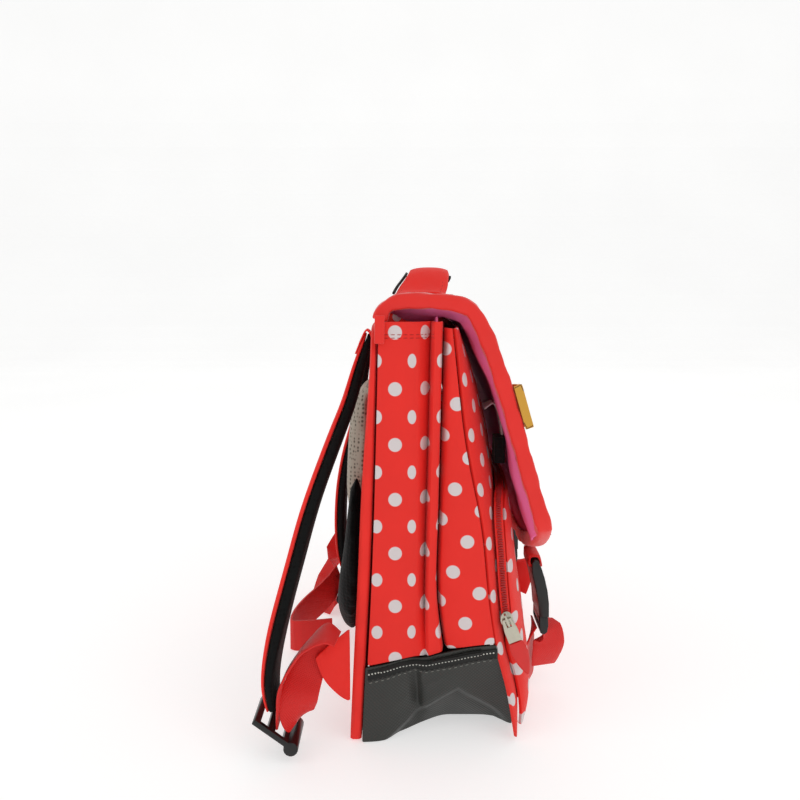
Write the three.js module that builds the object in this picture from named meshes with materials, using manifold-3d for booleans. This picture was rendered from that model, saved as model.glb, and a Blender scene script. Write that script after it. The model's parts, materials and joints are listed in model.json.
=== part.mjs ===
// A child's school ransel: a stiff-backed polka-dot satchel with a pleated rear compartment, a wedge-shaped
// front compartment, a zipped pocket, a grey coated boot, a bound flap and two padded shoulder straps.
// Millimetres, +Z up. The bag stands on the floor at z = 0, its flap looks to -Y and its back to +Y.
import * as THREE from "three";
import { mergeVertices } from "three/addons/utils/BufferGeometryUtils.js";
import Module from "manifold-3d";

const wasm = await Module();
wasm.setup();

// Driving dimensions of the body
const bagHeight = 270;
const bagDepth = 98;
const bagWidth = 306;
const baseTaper = 3;
const panelThickness = 8;
const panelCorner = 24;
const fabric = 1.6;
const coatedFabric = 2;
const gap = 0.3;
const foldDepth = 13;
const pleatDepth = 13;
const tuckDepth = 32;
const tuckFoldHeight = 35;
const bootCrease = 4;
const frontRim = 8;

// Driving dimensions of the pocket and its zip
const pocketHeight = 158;
const pocketInset = 9;
const zipWidth = 5.6;
const zipEnd = 76;
const zipCorner = 22;

// Driving dimensions of the flap
const flapWidth = 296;
const hemDrop = 40;
const hemRound = 1.6;
const liningSag = 8.4;
const flapPadding = 2.8;
const liningThickness = 1.4;
const bindingWidth = 9;
const bindingThickness = 1.5;
const buckleSpacing = 160;
const buckleDimple = 2.5;

// Driving dimensions of straps, handle and hardware
const webbingWidth = 25;
const webbingThickness = 1.6;
const strapWidth = 50;
const strapThickness = 9;
const handleLength = 112;
const handleWidth = 36;
const handleRise = 21;
const handleLean = 7;

// Heights of the side, as shares of bagHeight, with the lines drawn on it, as shares of bagDepth:
// back seam, end of the flat side, both edges of the pleat's ridge, and the front seam.
const sideLines = [
  { h: 0.0, back: 0.49, flat: 0.153, ridgeBack: 0.069, ridgeFront: -0.036, front: -0.51 },
  { h: 0.14, back: 0.471, flat: 0.148, ridgeBack: 0.069, ridgeFront: -0.036, front: -0.444 },
  { h: 0.226, back: 0.459, flat: 0.143, ridgeBack: 0.067, ridgeFront: -0.03, front: -0.372 },
  { h: 0.352, back: 0.439, flat: 0.138, ridgeBack: 0.071, ridgeFront: 0.019, front: -0.321 },
  { h: 0.515, back: 0.418, flat: 0.136, ridgeBack: 0.063, ridgeFront: 0.01, front: -0.278 },
  { h: 0.707, back: 0.401, flat: 0.135, ridgeBack: 0.051, ridgeFront: 0.0, front: -0.172 },
  { h: 0.907, back: 0.386, flat: 0.134, ridgeBack: 0.04, ridgeFront: -0.01, front: -0.105 },
  { h: 1.0, back: 0.38, flat: 0.133, ridgeBack: 0.035, ridgeFront: -0.015, front: -0.075 },
];

// Swell of the front panel and of the pocket by height: the rim's share of frontRim, then the swell of the
// panel's middle and the stand of the pocket in front of it, as shares of bagDepth.
const frontSwell = [
  { h: 0.0, rim: 0.15, swell: 0.0, pocket: 0.03 },
  { h: 0.03, rim: 0.5, swell: 0.0, pocket: 0.07 },
  { h: 0.08, rim: 1.0, swell: 0.0, pocket: 0.105 },
  { h: 0.24, rim: 1.0, swell: 0.03, pocket: 0.165 },
  { h: 0.36, rim: 1.0, swell: 0.035, pocket: 0.152 },
  { h: 0.45, rim: 1.0, swell: 0.045, pocket: 0.13 },
  { h: 0.55, rim: 1.0, swell: 0.09, pocket: 0.105 },
  { h: 0.6, rim: 1.0, swell: 0.115, pocket: 0.085 },
  { h: 0.7, rim: 1.0, swell: 0.145, pocket: 0.06 },
  { h: 0.84, rim: 0.9, swell: 0.1, pocket: 0.06 },
  { h: 0.93, rim: 0.65, swell: 0.06, pocket: 0.06 },
  { h: 1.0, rim: 0.4, swell: 0.0, pocket: 0.06 },
];

// Along the base from the back seam (0) to the front seam (1): the boot's top edge as a share of bagHeight,
// how far the bottom edge is tucked in as a share of tuckDepth, and the height of the folded corner as a
// share of tuckFoldHeight.
const bootLines = [
  { along: 0.0, top: 0.189, tuck: 0.0, fold: 0.0 },
  { along: 0.1, top: 0.194, tuck: 0.02, fold: 0.0 },
  { along: 0.2, top: 0.202, tuck: 0.15, fold: 0.0 },
  { along: 0.3, top: 0.212, tuck: 0.4, fold: 0.0 },
  { along: 0.37, top: 0.215, tuck: 0.6, fold: 0.22 },
  { along: 0.44, top: 0.21, tuck: 0.78, fold: 0.46 },
  { along: 0.54, top: 0.221, tuck: 1.0, fold: 0.8 },
  { along: 0.62, top: 0.226, tuck: 1.0, fold: 1.0 },
  { along: 0.72, top: 0.233, tuck: 1.0, fold: 0.66 },
  { along: 0.82, top: 0.239, tuck: 1.0, fold: 0.24 },
  { along: 0.9, top: 0.242, tuck: 0.9, fold: 0.0 },
  { along: 1.0, top: 0.244, tuck: 0.76, fold: 0.0 },
];

// The flap in profile, from the top of the back panel over the bag and down the front: y as a share of
// bagDepth, z as a share of bagHeight.
const flapLine = [
  { y: 0.362, z: 1.006 },
  { y: 0.347, z: 1.028 },
  { y: 0.305, z: 1.0435 },
  { y: 0.235, z: 1.049 },
  { y: 0.082, z: 1.047 },
  { y: -0.082, z: 1.0425 },
  { y: -0.189, z: 1.03 },
  { y: -0.24, z: 1.0035 },
  { y: -0.316, z: 0.948 },
  { y: -0.383, z: 0.878 },
  { y: -0.474, z: 0.767 },
  { y: -0.536, z: 0.693 },
  { y: -0.595, z: 0.615 },
  { y: -0.648, z: 0.563 },
  { y: -0.684, z: 0.511 },
  { y: -0.704, z: 0.46 },
  { y: -0.711, z: 0.415 },
  { y: -0.711, z: 0.377 },
];

// Smooth reading of one column of a table whose rows rise in the key column.
function read(table, key, column, at) {
  const last = table.length - 1;
  const i = Math.min(Math.max(table.findIndex((row) => row[key] > at) - 1, 0), last - 1);
  const k = at >= table[last][key] ? last - 1 : i;
  const a = table[k];
  const b = table[k + 1];
  const span = b[key] - a[key];
  const t = Math.min(Math.max((at - a[key]) / span, 0), 1);
  const before = table[Math.max(k - 1, 0)];
  const after = table[Math.min(k + 2, last)];
  const slopeA = (b[column] - before[column]) / (b[key] - before[key]);
  const slopeB = (after[column] - a[column]) / (after[key] - a[key]);
  const t2 = t * t;
  const t3 = t2 * t;
  return (2 * t3 - 3 * t2 + 1) * a[column] + (t3 - 2 * t2 + t) * span * slopeA
    + (3 * t2 - 2 * t3) * b[column] + (t3 - t2) * span * slopeB;
}

const lerp = THREE.MathUtils.lerp;
const smoothstep = THREE.MathUtils.smoothstep;
const steps = (count, from = 0, to = 1) =>
  Array.from({ length: count + 1 }, (_, i) => lerp(from, to, i / count));
const V = (x, y, z) => new THREE.Vector3(x, y, z);

// A closed solid from points and faces, turned so that its faces look outwards.
function solid(points, faces) {
  let volume = 0;
  for (const [a, b, c] of faces) {
    volume += points[a].dot(points[b].clone().cross(points[c])) / 6;
  }
  const turned = volume < 0 ? faces.map(([a, b, c]) => [a, c, b]) : faces;
  const geometry = new THREE.BufferGeometry();
  geometry.setAttribute("position", new THREE.Float32BufferAttribute(points.flatMap((p) => p.toArray()), 3));
  geometry.setIndex(turned.flat());
  geometry.computeVertexNormals();
  return geometry;
}

// A shell between two offsets of a surface: place(u, v, offset) gives its points.
function shell(us, vs, near, far, place) {
  const points = [];
  for (const offset of [near, far]) {
    for (const u of us) {
      for (const v of vs) {
        points.push(place(u, v, offset));
      }
    }
  }
  const rows = us.length;
  const cols = vs.length;
  const at = (layer, i, j) => (layer * rows + i) * cols + j;
  const faces = [];
  const quad = (a, b, c, d) => faces.push([a, b, c], [a, c, d]);
  for (let i = 0; i + 1 < rows; i += 1) {
    for (let j = 0; j + 1 < cols; j += 1) {
      quad(at(0, i, j), at(0, i, j + 1), at(0, i + 1, j + 1), at(0, i + 1, j));
      quad(at(1, i, j), at(1, i + 1, j), at(1, i + 1, j + 1), at(1, i, j + 1));
    }
  }
  for (let i = 0; i + 1 < rows; i += 1) {
    quad(at(0, i, 0), at(0, i + 1, 0), at(1, i + 1, 0), at(1, i, 0));
    quad(at(0, i + 1, cols - 1), at(0, i, cols - 1), at(1, i, cols - 1), at(1, i + 1, cols - 1));
  }
  for (let j = 0; j + 1 < cols; j += 1) {
    quad(at(0, 0, j + 1), at(0, 0, j), at(1, 0, j), at(1, 0, j + 1));
    quad(at(0, rows - 1, j), at(0, rows - 1, j + 1), at(1, rows - 1, j + 1), at(1, rows - 1, j));
  }
  return solid(points, faces);
}

// The unit normal of a surface given by a function of two numbers, found from its neighbours.
function normalOf(surface, u, v, du, dv) {
  const alongU = surface(u + du, v).sub(surface(u - du, v));
  const alongV = surface(u, v + dv).sub(surface(u, v - dv));
  return alongU.cross(alongV).normalize();
}

// A sheet of cloth of even thickness about a surface.
function sheet(us, vs, thickness, surface, du = 0.01, dv = 0.01) {
  return shell(us, vs, -thickness / 2, thickness / 2, (u, v, offset) =>
    surface(u, v).add(normalOf(surface, u, v, du, dv).multiplyScalar(offset)));
}

// A closed body through stations, each with an origin, two axes and a flat section of [a, b] pairs.
function sweep(stations) {
  const count = stations[0].section.length;
  const points = stations.flatMap(({ origin, across, up, section }) => section.map(([a, b]) =>
    origin.clone().addScaledVector(across, a).addScaledVector(up, b)));
  const faces = [];
  for (let i = 0; i + 1 < stations.length; i += 1) {
    for (let j = 0; j < count; j += 1) {
      const next = (j + 1) % count;
      const base = i * count;
      faces.push([base + j, base + next, base + count + next], [base + j, base + count + next, base + count + j]);
    }
  }
  const lid = (station, base, flip) => {
    const outline = station.section.map(([a, b]) => new THREE.Vector2(a, b));
    const clockwise = THREE.ShapeUtils.isClockWise(outline);
    for (const [a, b, c] of THREE.ShapeUtils.triangulateShape(outline, [])) {
      faces.push(flip !== clockwise ? [base + a, base + c, base + b] : [base + a, base + b, base + c]);
    }
  };
  lid(stations[0], 0, true);
  lid(stations[stations.length - 1], (stations.length - 1) * count, false);
  return solid(points, faces);
}

// Flat sections for sweeps
const slabSection = (width, thickness) => [
  [-width / 2, -thickness / 2], [width / 2, -thickness / 2], [width / 2, thickness / 2], [-width / 2, thickness / 2],
];
const ovalSection = (width, height, sides = 12) =>
  Array.from({ length: sides }, (_, i) => {
    const turn = (i / sides) * 2 * Math.PI;
    return [Math.cos(turn) * width / 2, Math.sin(turn) * height / 2];
  });

// Lines of the side at a height z
const lineAt = (column, z) => read(sideLines, "h", column, z / bagHeight) * bagDepth;
const halfWidth = (z) => bagWidth / 2 - baseTaper * (1 - z / bagHeight);
const bootTop = (along) => read(bootLines, "along", "top", along) * bagHeight;
const alongAt = (y, z) => (lineAt("back", z) - y) / (lineAt("back", z) - lineAt("front", z));

// How far the boot's side lies inside the bag's side plane
function tuckAt(along, z) {
  const floor = Math.max(read(bootLines, "along", "tuck", along), 0) * tuckDepth;
  const fold = Math.max(read(bootLines, "along", "fold", along), 0);
  const slope = Math.pow(Math.max(1 - z / bootTop(along), 0), 1.2);
  const corner = fold > 0.02 ? Math.max(1 - z / (fold * tuckFoldHeight), 0) : 0;
  const crease = bootCrease * Math.exp(-(((along - 0.36) / 0.05) ** 2)) * Math.sin(Math.PI * Math.min(z / bootTop(along), 1));
  return floor * ((1 - 0.6 * fold) * slope + 0.6 * fold * corner) + crease;
}

// The front panel's outer surface: a rounded rim, then a stuffed middle.
function frontY(x, z) {
  const share = Math.min(Math.abs(x) / (halfWidth(z) - 1), 1);
  const h = z / bagHeight;
  const rim = read(frontSwell, "h", "rim", h) * frontRim * Math.sqrt(1 - share ** 8);
  const swell = read(frontSwell, "h", "swell", h) * bagDepth * (1 - share ** 2.5);
  return lineAt("front", z) - rim - swell;
}

// Half the pocket's width, less at its rounded top corners
function pocketHalf(z, corner = zipCorner, top = pocketHeight) {
  const into = Math.min(Math.max(z - (top - corner), 0), corner);
  return halfWidth(z) - pocketInset - (corner - Math.sqrt(corner ** 2 - into ** 2));
}

// The pocket's outer surface, in front of the panel
function pocketY(x, z) {
  const half = Math.max(pocketHalf(z), 1);
  const share = Math.min(Math.abs(x) / half, 1);
  const wall = lerp(fabric + 2 * gap, fabric + 2 * gap + zipWidth, smoothstep(z, zipEnd - 8, zipEnd));
  const stand = read(frontSwell, "h", "pocket", z / bagHeight) * bagDepth;
  return frontY(x, z) - wall - Math.max(stand - wall, 0) * Math.sqrt(1 - share ** 5);
}

// Thickness of the back panel at a height: thinner where it is sewn to the flap
const panelAt = (z) => panelThickness * lerp(1, 0.5, smoothstep(z, 0.55 * bagHeight, 0.95 * bagHeight));

// Back panel: a padded board with rounded top corners
function backPanel() {
  const half = (z) => {
    const into = Math.max(z - (bagHeight - 1 - panelCorner), 0);
    return bagWidth / 2 - 1 - (panelCorner - Math.sqrt(Math.max(panelCorner ** 2 - into ** 2, 0)));
  };
  const heights = [...steps(8, gap, bagHeight - 1 - panelCorner), ...steps(6, bagHeight - 1 - panelCorner, bagHeight - 2).slice(1)];
  return shell(heights, steps(6, -1, 1), 0, 1, (z, share, layer) =>
    V(share * Math.min(half(z), halfWidth(z) - 1), lineAt("back", z) + 2 * gap + layer * panelAt(z), z));
}

// Rear side wall: flat, then in to a valley, out to the pleat's ridge and in again
function rearGusset(side) {
  const plan = (z) => {
    const half = halfWidth(z);
    const depth = pleatDepth * lerp(0.35, 1, smoothstep(z, 0.2 * bagHeight, 0.4 * bagHeight));
    const ridgeBack = lineAt("ridgeBack", z);
    const ridgeFront = lineAt("ridgeFront", z);
    return [
      [half - 1, lineAt("back", z) - gap], [half - 0.3, lerp(lineAt("back", z), lineAt("flat", z), 0.55)],
      [half - 1.2, lineAt("flat", z)], [half - depth * 0.8, ridgeBack + 2.6], [half - depth, ridgeBack + 0.8],
      [half - 3, ridgeBack - 0.2], [half - 1.2, ridgeBack - 1], [half - 1.2, ridgeFront + 1],
      [half - 3, ridgeFront + 0.2], [half - foldDepth, ridgeFront - 0.4],
    ];
  };
  const lowest = 0.224 * bagHeight;
  return sheet(steps(9), steps(9), fabric, (u, v) => {
    const at = Math.min(Math.max(v * 9, 0), 9);
    const k = Math.min(Math.floor(at), 8);
    const z = lerp(lowest, bagHeight, u);
    const a = plan(z)[k];
    const b = plan(z)[k + 1];
    const edge = lerp(a[1], b[1], at - k);
    const hem = bootTop(Math.max(alongAt(edge, lowest), 0)) + 4 * gap;
    return V(side * lerp(a[0], b[0], at - k), edge, lerp(hem, bagHeight + 1, u));
  });
}

// Divider between the compartments, its edges held in the pleat's ridges
function dividerPanel() {
  const middle = (z) => (lineAt("ridgeBack", z) + lineAt("ridgeFront", z)) / 2 + gap;
  const half = (z) => halfWidth(z) - foldDepth - 2.3 - 24 * (1 - smoothstep(z, 10, 62)) + smoothstep(z, 70, 110) * 6;
  return shell(steps(9, 6, bagHeight + 4), steps(4, -1, 1), -fabric / 2, fabric / 2, (z, share, offset) =>
    V(share * half(z), middle(Math.min(z, bagHeight)) + offset, z));
}

// Front side wall, from the divider out to the front seam
function frontGusset(side) {
  const plan = (z) => {
    const half = halfWidth(z);
    const inner = lineAt("ridgeFront", z) - 0.4 - fabric - gap;
    const seam = lineAt("front", z) + gap;
    const shoulder = Math.max(inner - 2, seam + 1.2);
    return [
      [half - foldDepth, inner], [half - 4, shoulder + 0.3], [half - 1.6, lerp(shoulder, seam, 0.2)],
      [half - 0.6, lerp(shoulder, seam, 0.6)], [half - 1, seam],
    ];
  };
  const lowest = 0.224 * bagHeight;
  return sheet(steps(9), steps(4), fabric, (u, v) => {
    const at = Math.min(Math.max(v * 4, 0), 4);
    const k = Math.min(Math.floor(at), 3);
    const z = lerp(lowest, bagHeight - 3, u);
    const a = plan(z)[k];
    const b = plan(z)[k + 1];
    const edge = lerp(a[1], b[1], at - k);
    const hem = bootTop(Math.min(alongAt(edge, lowest), 1)) + 4 * gap;
    return V(side * lerp(a[0], b[0], at - k), edge, lerp(hem, bagHeight - 3, u));
  });
}

// Front panel
function frontPanel() {
  const shares = [-1, -0.985, -0.95, -0.88, -0.7, -0.4, 0, 0.4, 0.7, 0.88, 0.95, 0.985, 1];
  return shell(steps(14, 3, bagHeight - 3), shares, 0, fabric, (z, share, offset) =>
    V(share * (halfWidth(z) - 1 - offset), frontY(share * (halfWidth(z) - 1), z) - gap - fabric + offset, z));
}

// Front pocket: the zipped pouch that swells out of the front panel
function frontPocket() {
  const shares = [-1, -0.985, -0.93, -0.82, -0.6, -0.3, 0, 0.3, 0.6, 0.82, 0.93, 0.985, 1];
  const heights = [8, 11, 16, 26, 40, 56, 68, 78, 96, 116, 136, 145, 152, 156, pocketHeight];
  return shell(heights, shares, 0, fabric, (z, share, offset) => {
    const half = pocketHalf(z);
    return V(share * (half - offset), pocketY(share * half, z) - gap + offset - fabric, z);
  });
}

// Route of the pocket's zip, just outside the pocket's edge, as [x, z] on the front panel
const zipClear = fabric / 2 + 2 * gap;
function zipRoute() {
  const top = pocketHeight + zipClear;
  const corner = zipCorner + zipClear;
  const side = steps(5, zipEnd, top - corner).map((z) => [-pocketHalf(z) - zipClear, z]);
  const [edge] = side[side.length - 1];
  const bend = steps(7, Math.PI, Math.PI / 2).slice(1).map((turn) => [
    edge + corner + corner * Math.cos(turn), top - corner + corner * Math.sin(turn),
  ]);
  const half = [...side, ...bend];
  const across = steps(12, edge + corner, -edge - corner).slice(1, -1).map((x) => [x, top]);
  return [...half, ...across, ...half.toReversed().map(([x, z]) => [-x, z])];
}

// Where the zip's tape stands on the front panel
const zipBase = (x, z) => Math.min(frontY(x, z), frontY(x * 0.98, z)) - fabric - 3 * gap;

function pocketZip() {
  const route = zipRoute();
  const stations = route.map(([x, z], i) => {
    const [xa, za] = route[Math.max(i - 1, 0)];
    const [xb, zb] = route[Math.min(i + 1, route.length - 1)];
    const out = V(-(zb - za), 0, xb - xa).normalize();
    const base = zipBase(x, z);
    return {
      origin: V(x, base - zipWidth / 2, z), across: V(0, -1, 0), up: out,
      section: slabSection(zipWidth, fabric),
    };
  });
  return sweep(stations);
}

// The boot: one coated sheet down the left side, across the floor and up the right side
function bottomBoot() {
  const sideSteps = [1, 0.82, 0.65, 0.48, 0.32, 0.16, 0];
  const us = [...sideSteps.map((share) => [-1, share]), [-0.5, 0], [0, 0], [0.5, 0], ...sideSteps.toReversed().map((share) => [1, share])];
  const alongs = bootLines.map((row) => row.along);
  return shell(us, alongs, 0, coatedFabric, ([side, share], along, offset) => {
    const z = share * bootTop(along);
    const y = lerp(lineAt("back", z) - gap, lineAt("front", z) + gap, along);
    const half = halfWidth(z) - tuckAt(along, z) - offset;
    return V(Math.abs(side) === 1 ? side * half : side * half, y, share === 0 ? offset : z);
  });
}

// Light stitched trim along the boot's top edge
function bootTrim(side) {
  const alongs = bootLines.map((row) => row.along).slice(1, -1);
  const below = 0.014 * bagHeight;
  const half = 0.005 * bagHeight;
  return shell(alongs, [-half, half], 2 * gap, 2 * gap + 0.8, (along, rise, offset) => {
    const z = bootTop(along) - below + rise;
    const y = lerp(lineAt("back", z), lineAt("front", z), along);
    return V(side * (halfWidth(z) - tuckAt(along, z) + offset), y, z);
  });
}

// Flap: its profile as a curve, measured along its length
const flapCurve = new THREE.CatmullRomCurve3(flapLine.map(({ y, z }) => V(0, y * bagDepth, z * bagHeight)), false, "centripetal");
flapCurve.arcLengthDivisions = 400;
const flapLength = flapCurve.getLength();

// A point of the flap, s along its length from the back, x across, offset outwards from its middle
function flapPoint(s, x, offset) {
  const t = Math.min(Math.max(s / flapLength, 0), 1);
  const point = flapCurve.getPointAt(t);
  const tangent = flapCurve.getTangentAt(t);
  const outward = V(0, -tangent.z, tangent.y).negate();
  const over = smoothstep(s, 0.55 * flapLength, 0.95 * flapLength);
  const dimple = buckleDimple * over * Math.exp(-(((Math.abs(x) - buckleSpacing / 2) / 42) ** 2));
  return V(x, point.y + dimple, point.z).addScaledVector(outward, offset);
}

// The border of the flap as [s, x] for turn from -1 (left back) over the hem (0) to 1 (right back)
const straightEdge = flapLength - hemDrop;
function flapBorder(turn) {
  const bend = 0.4;
  const size = Math.abs(turn);
  const side = Math.sign(turn) || 1;
  if (size > bend) {
    return [straightEdge * (1 - (size - bend) / (1 - bend)), (side * flapWidth) / 2];
  }
  const angle = (size / bend) * (Math.PI / 2);
  return [straightEdge + hemDrop * Math.cos(angle) ** hemRound, side * (flapWidth / 2) * Math.sin(angle)];
}

// Stations along the flap's straight edges, closer at its bend, and on over the rounded hem
const flapStations = [0, 0.03, 0.075, 0.16, 0.229, 0.268, 0.299, 0.331, 0.4, 0.54, 0.7, 0.86, 1];
const hemStations = [0.34, 0.67, 1];

function flapSheet(near, far, inset, sag = 0) {
  const angles = steps(12, -Math.PI / 2, Math.PI / 2);
  const shares = [...flapStations, ...hemStations.map((share) => 1 + share)];
  return shell(shares, angles, near, far, (share, angle, offset) => {
    const x = (flapWidth / 2 - inset) * Math.sin(angle);
    const hem = Math.max((hemDrop - inset) * Math.abs(Math.cos(angle)) ** hemRound, 0.6);
    const top = smoothstep(share, 0.02, 0.08) * (1 - smoothstep(share, 0.15, 0.24));
    const drop = sag * top * (1 - smoothstep(Math.abs(Math.sin(angle)), 0.75, 0.92));
    return flapPoint(gap + Math.min(share, 1) * (straightEdge - gap) + Math.max(share - 1, 0) * hem, x, offset - drop);
  });
}

// Binding: a channel that wraps the edges of the flap's two sheets
function flapBinding() {
  const slotOut = flapPadding + 5 * gap;
  const slotIn = -liningThickness - 4 * gap;
  const out = slotOut + bindingThickness;
  const into = slotIn - bindingThickness;
  const section = [
    [-bindingThickness, into], [bindingWidth, into], [bindingWidth, slotIn], [gap, slotIn],
    [gap, slotOut], [bindingWidth, slotOut], [bindingWidth, out], [-bindingThickness, out],
  ];
  const bend = 0.4;
  const straight = flapStations.slice(0, -1).map((share) => bend + (1 - bend) * (1 - share));
  const corner = steps(18, -bend, bend);
  const turns = [...straight.map((turn) => -turn), ...corner, ...straight.toReversed()];
  const rings = turns.map((turn) => {
    const [s, x] = flapBorder(turn);
    const [sa, xa] = flapBorder(turn - 0.004);
    const [sb, xb] = flapBorder(turn + 0.004);
    const along = new THREE.Vector2(sb - sa, xb - xa).normalize();
    const straightOn = Math.abs(turn) > bend;
    const inward = straightOn ? new THREE.Vector2(0, -Math.sign(turn)) : new THREE.Vector2(-along.y, along.x);
    return section.map(([into2, offset]) =>
      flapPoint(Math.max(s + inward.x * into2, 0), x + inward.y * into2, offset));
  });
  return ringSolid(rings, section);
}

// A closed body through rings of points, its lids cut like the flat section
function ringSolid(rings, section) {
  const count = section.length;
  const faces = [];
  for (let i = 0; i + 1 < rings.length; i += 1) {
    for (let j = 0; j < count; j += 1) {
      const next = (j + 1) % count;
      const base = i * count;
      faces.push([base + j, base + next, base + count + next], [base + j, base + count + next, base + count + j]);
    }
  }
  const outline = section.map(([a, b]) => new THREE.Vector2(a, b));
  const clockwise = THREE.ShapeUtils.isClockWise(outline);
  const end = (rings.length - 1) * count;
  for (const [a, b, c] of THREE.ShapeUtils.triangulateShape(outline, [])) {
    faces.push(clockwise ? [a, b, c] : [a, c, b]);
    faces.push(clockwise ? [end + a, end + c, end + b] : [end + a, end + b, end + c]);
  }
  return solid(rings.flat(), faces);
}

// Ends of the binding, sewn down over the top corners of the sides
function bindingEnd(side) {
  const top = 1.018 * bagHeight;
  const bottom = 0.955 * bagHeight;
  return shell(steps(3, bottom, top), [-3, 3], gap, gap + fabric, (z, y, offset) =>
    V(side * (halfWidth(bagHeight) + 0.5 + offset), lineAt("back", Math.min(z, bagHeight)) - 1 + y, z));
}

// Folded blank label that stands proud of the flap at its left edge
const labelLength = 28;
const labelStand = 5.5;
const labelReach = 12;
const labelSkin = 1.2;
function sideLabel() {
  const from = flapLength * 0.465;
  const foot = flapPadding + 6 * gap + bindingThickness;
  const rim = -bindingThickness;
  const section = [
    [rim, foot], [rim, foot + labelStand], [labelReach, foot + labelSkin], [labelReach, foot],
    [labelReach - 2, foot], [rim + labelSkin, foot + labelStand - 2 * labelSkin], [rim + labelSkin, foot],
  ];
  const rings = steps(4, from, from + labelLength).map((s) =>
    section.map(([into, offset]) => flapPoint(s, -flapWidth / 2 + into, offset)));
  return ringSolid(rings, section);
}

// Stations along a smooth route; each row gives a place, a width direction, a width and a share of thickness
function routeStations(rows, count, section) {
  const route = new THREE.CatmullRomCurve3(rows.map((row) => row.at), false, "centripetal");
  const last = rows.length - 1;
  return steps(count).map((t) => {
    const along = Math.min(t * last, last - 1e-9);
    const k = Math.floor(along);
    const share = along - k;
    const tangent = route.getTangent(t);
    const across = rows[k].wide.clone().lerp(rows[k + 1].wide, share);
    across.addScaledVector(tangent, -across.dot(tangent)).normalize();
    return {
      origin: route.getPoint(t), across, up: tangent.clone().cross(across).normalize(),
      section: section(
        lerp(rows[k].width ?? webbingWidth, rows[k + 1].width ?? webbingWidth, share),
        lerp(rows[k].thick ?? 1, rows[k + 1].thick ?? 1, share),
      ),
    };
  });
}

const webbing = (rows, count) =>
  sweep(routeStations(rows, count, (width) => slabSection(width, webbingThickness)));

// Upper back pad: a shield with a crowned face
function upperBackPad() {
  const bottom = 0.37 * bagHeight;
  const top = 0.83 * bagHeight;
  const halfAt = (share) => 50 * Math.sqrt(Math.max(1 - Math.max(1 - share * 3.2, 0) ** 2.4, 0.02)) * (1 - 0.14 * share);
  return shell(steps(12), steps(8, -1, 1), 0, 1, (share, across, layer) => {
    const z = lerp(bottom, top, share);
    const base = lineAt("back", z) + panelAt(z) + 3 * gap;
    const crown = 3 + 9 * (1 - across ** 4) * (1 - (2 * share - 1) ** 6);
    return V(across * halfAt(share), base + layer * crown, z);
  });
}

// Lower back pad: a U-shaped roll, thick across the small of the back
function lowerBackPad() {
  const rows = [
    { x: -0.56, z: 0.6, width: 22, rise: 8 }, { x: -0.585, z: 0.5, width: 34, rise: 9.5 },
    { x: -0.59, z: 0.38, width: 40, rise: 10 }, { x: -0.5, z: 0.27, width: 50, rise: 11 },
    { x: -0.27, z: 0.215, width: 54, rise: 11.5 }, { x: 0, z: 0.21, width: 54, rise: 11.5 },
  ];
  const both = [...rows, ...rows.slice(0, -1).toReversed().map((row) => ({ ...row, x: -row.x }))];
  const place = ({ x, z }) => V((x * bagWidth) / 2, lineAt("back", z * bagHeight) + panelAt(z * bagHeight), z * bagHeight);
  const route = new THREE.CatmullRomCurve3(both.map(place), false, "centripetal");
  const last = both.length - 1;
  return sweep(steps(24).map((t) => {
    const k = Math.min(Math.floor(t * last), last - 1);
    const width = lerp(both[k].width, both[k + 1].width, t * last - k);
    const rise = lerp(both[k].rise, both[k + 1].rise, t * last - k);
    const tangent = route.getTangent(t);
    const across = V(0, 1, 0).cross(tangent).normalize();
    const origin = route.getPoint(t);
    origin.y = lineAt("back", origin.z) + panelAt(origin.z) + 7 * gap;
    return {
      origin, across, up: V(0, 1, 0),
      section: [[-0.5, 0], [0.5, 0], [0.47, 0.45], [0.33, 0.85], [0, 1], [-0.33, 0.85], [-0.47, 0.45]]
        .map(([a, b]) => [a * width, b * rise]),
    };
  }));
}

// Route of each padded strap from the top of the back panel to its ladder lock: x as a share of half the
// bag's width, y of bagDepth, z of bagHeight, with the width as a share of strapWidth and the thickness as
// one of strapThickness.
const strapRoutes = {
  left: [
    { x: -0.47, y: 0.49, z: 0.93, wide: 1, thick: 0.6 }, { x: -0.52, y: 0.537, z: 0.874, wide: 1, thick: 0.95 },
    { x: -0.59, y: 0.606, z: 0.789, wide: 1, thick: 1.1 }, { x: -0.66, y: 0.69, z: 0.71, wide: 1, thick: 1.2 },
    { x: -0.74, y: 0.842, z: 0.559, wide: 1, thick: 1.2 }, { x: -0.82, y: 0.939, z: 0.43, wide: 1, thick: 1.2 },
    { x: -0.93, y: 1.055, z: 0.263, wide: 0.92, thick: 1.2 }, { x: -1.0, y: 1.085, z: 0.17, wide: 0.76, thick: 0.9 },
    { x: -1.035, y: 1.06, z: 0.104, wide: 0.54, thick: 0.5 },
  ],
  right: [
    { x: 0.5, y: 0.464, z: 0.93, wide: 1, thick: 0.6 }, { x: 0.51, y: 0.563, z: 0.84, wide: 1, thick: 1 },
    { x: 0.51, y: 0.605, z: 0.7, wide: 1, thick: 1 }, { x: 0.51, y: 0.71, z: 0.56, wide: 1, thick: 1 },
    { x: 0.51, y: 0.765, z: 0.45, wide: 1, thick: 1 }, { x: 0.51, y: 0.785, z: 0.33, wide: 0.96, thick: 1 },
    { x: 0.51, y: 0.78, z: 0.235, wide: 0.76, thick: 0.9 }, { x: 0.51, y: 0.764, z: 0.176, wide: 0.54, thick: 0.5 },
  ],
};
const strapCoverShare = 0.3;

function strapStations(name, section) {
  const rows = strapRoutes[name].map(({ x, y, z, wide, thick }) => ({
    at: V((x * bagWidth) / 2, y * bagDepth, z * bagHeight), wide: V(-1, 0, 0), width: wide * strapWidth, thick,
  }));
  return routeStations(rows, 19, (width, share) => section(width / 2, (share * strapThickness) / 2));
}

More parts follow.
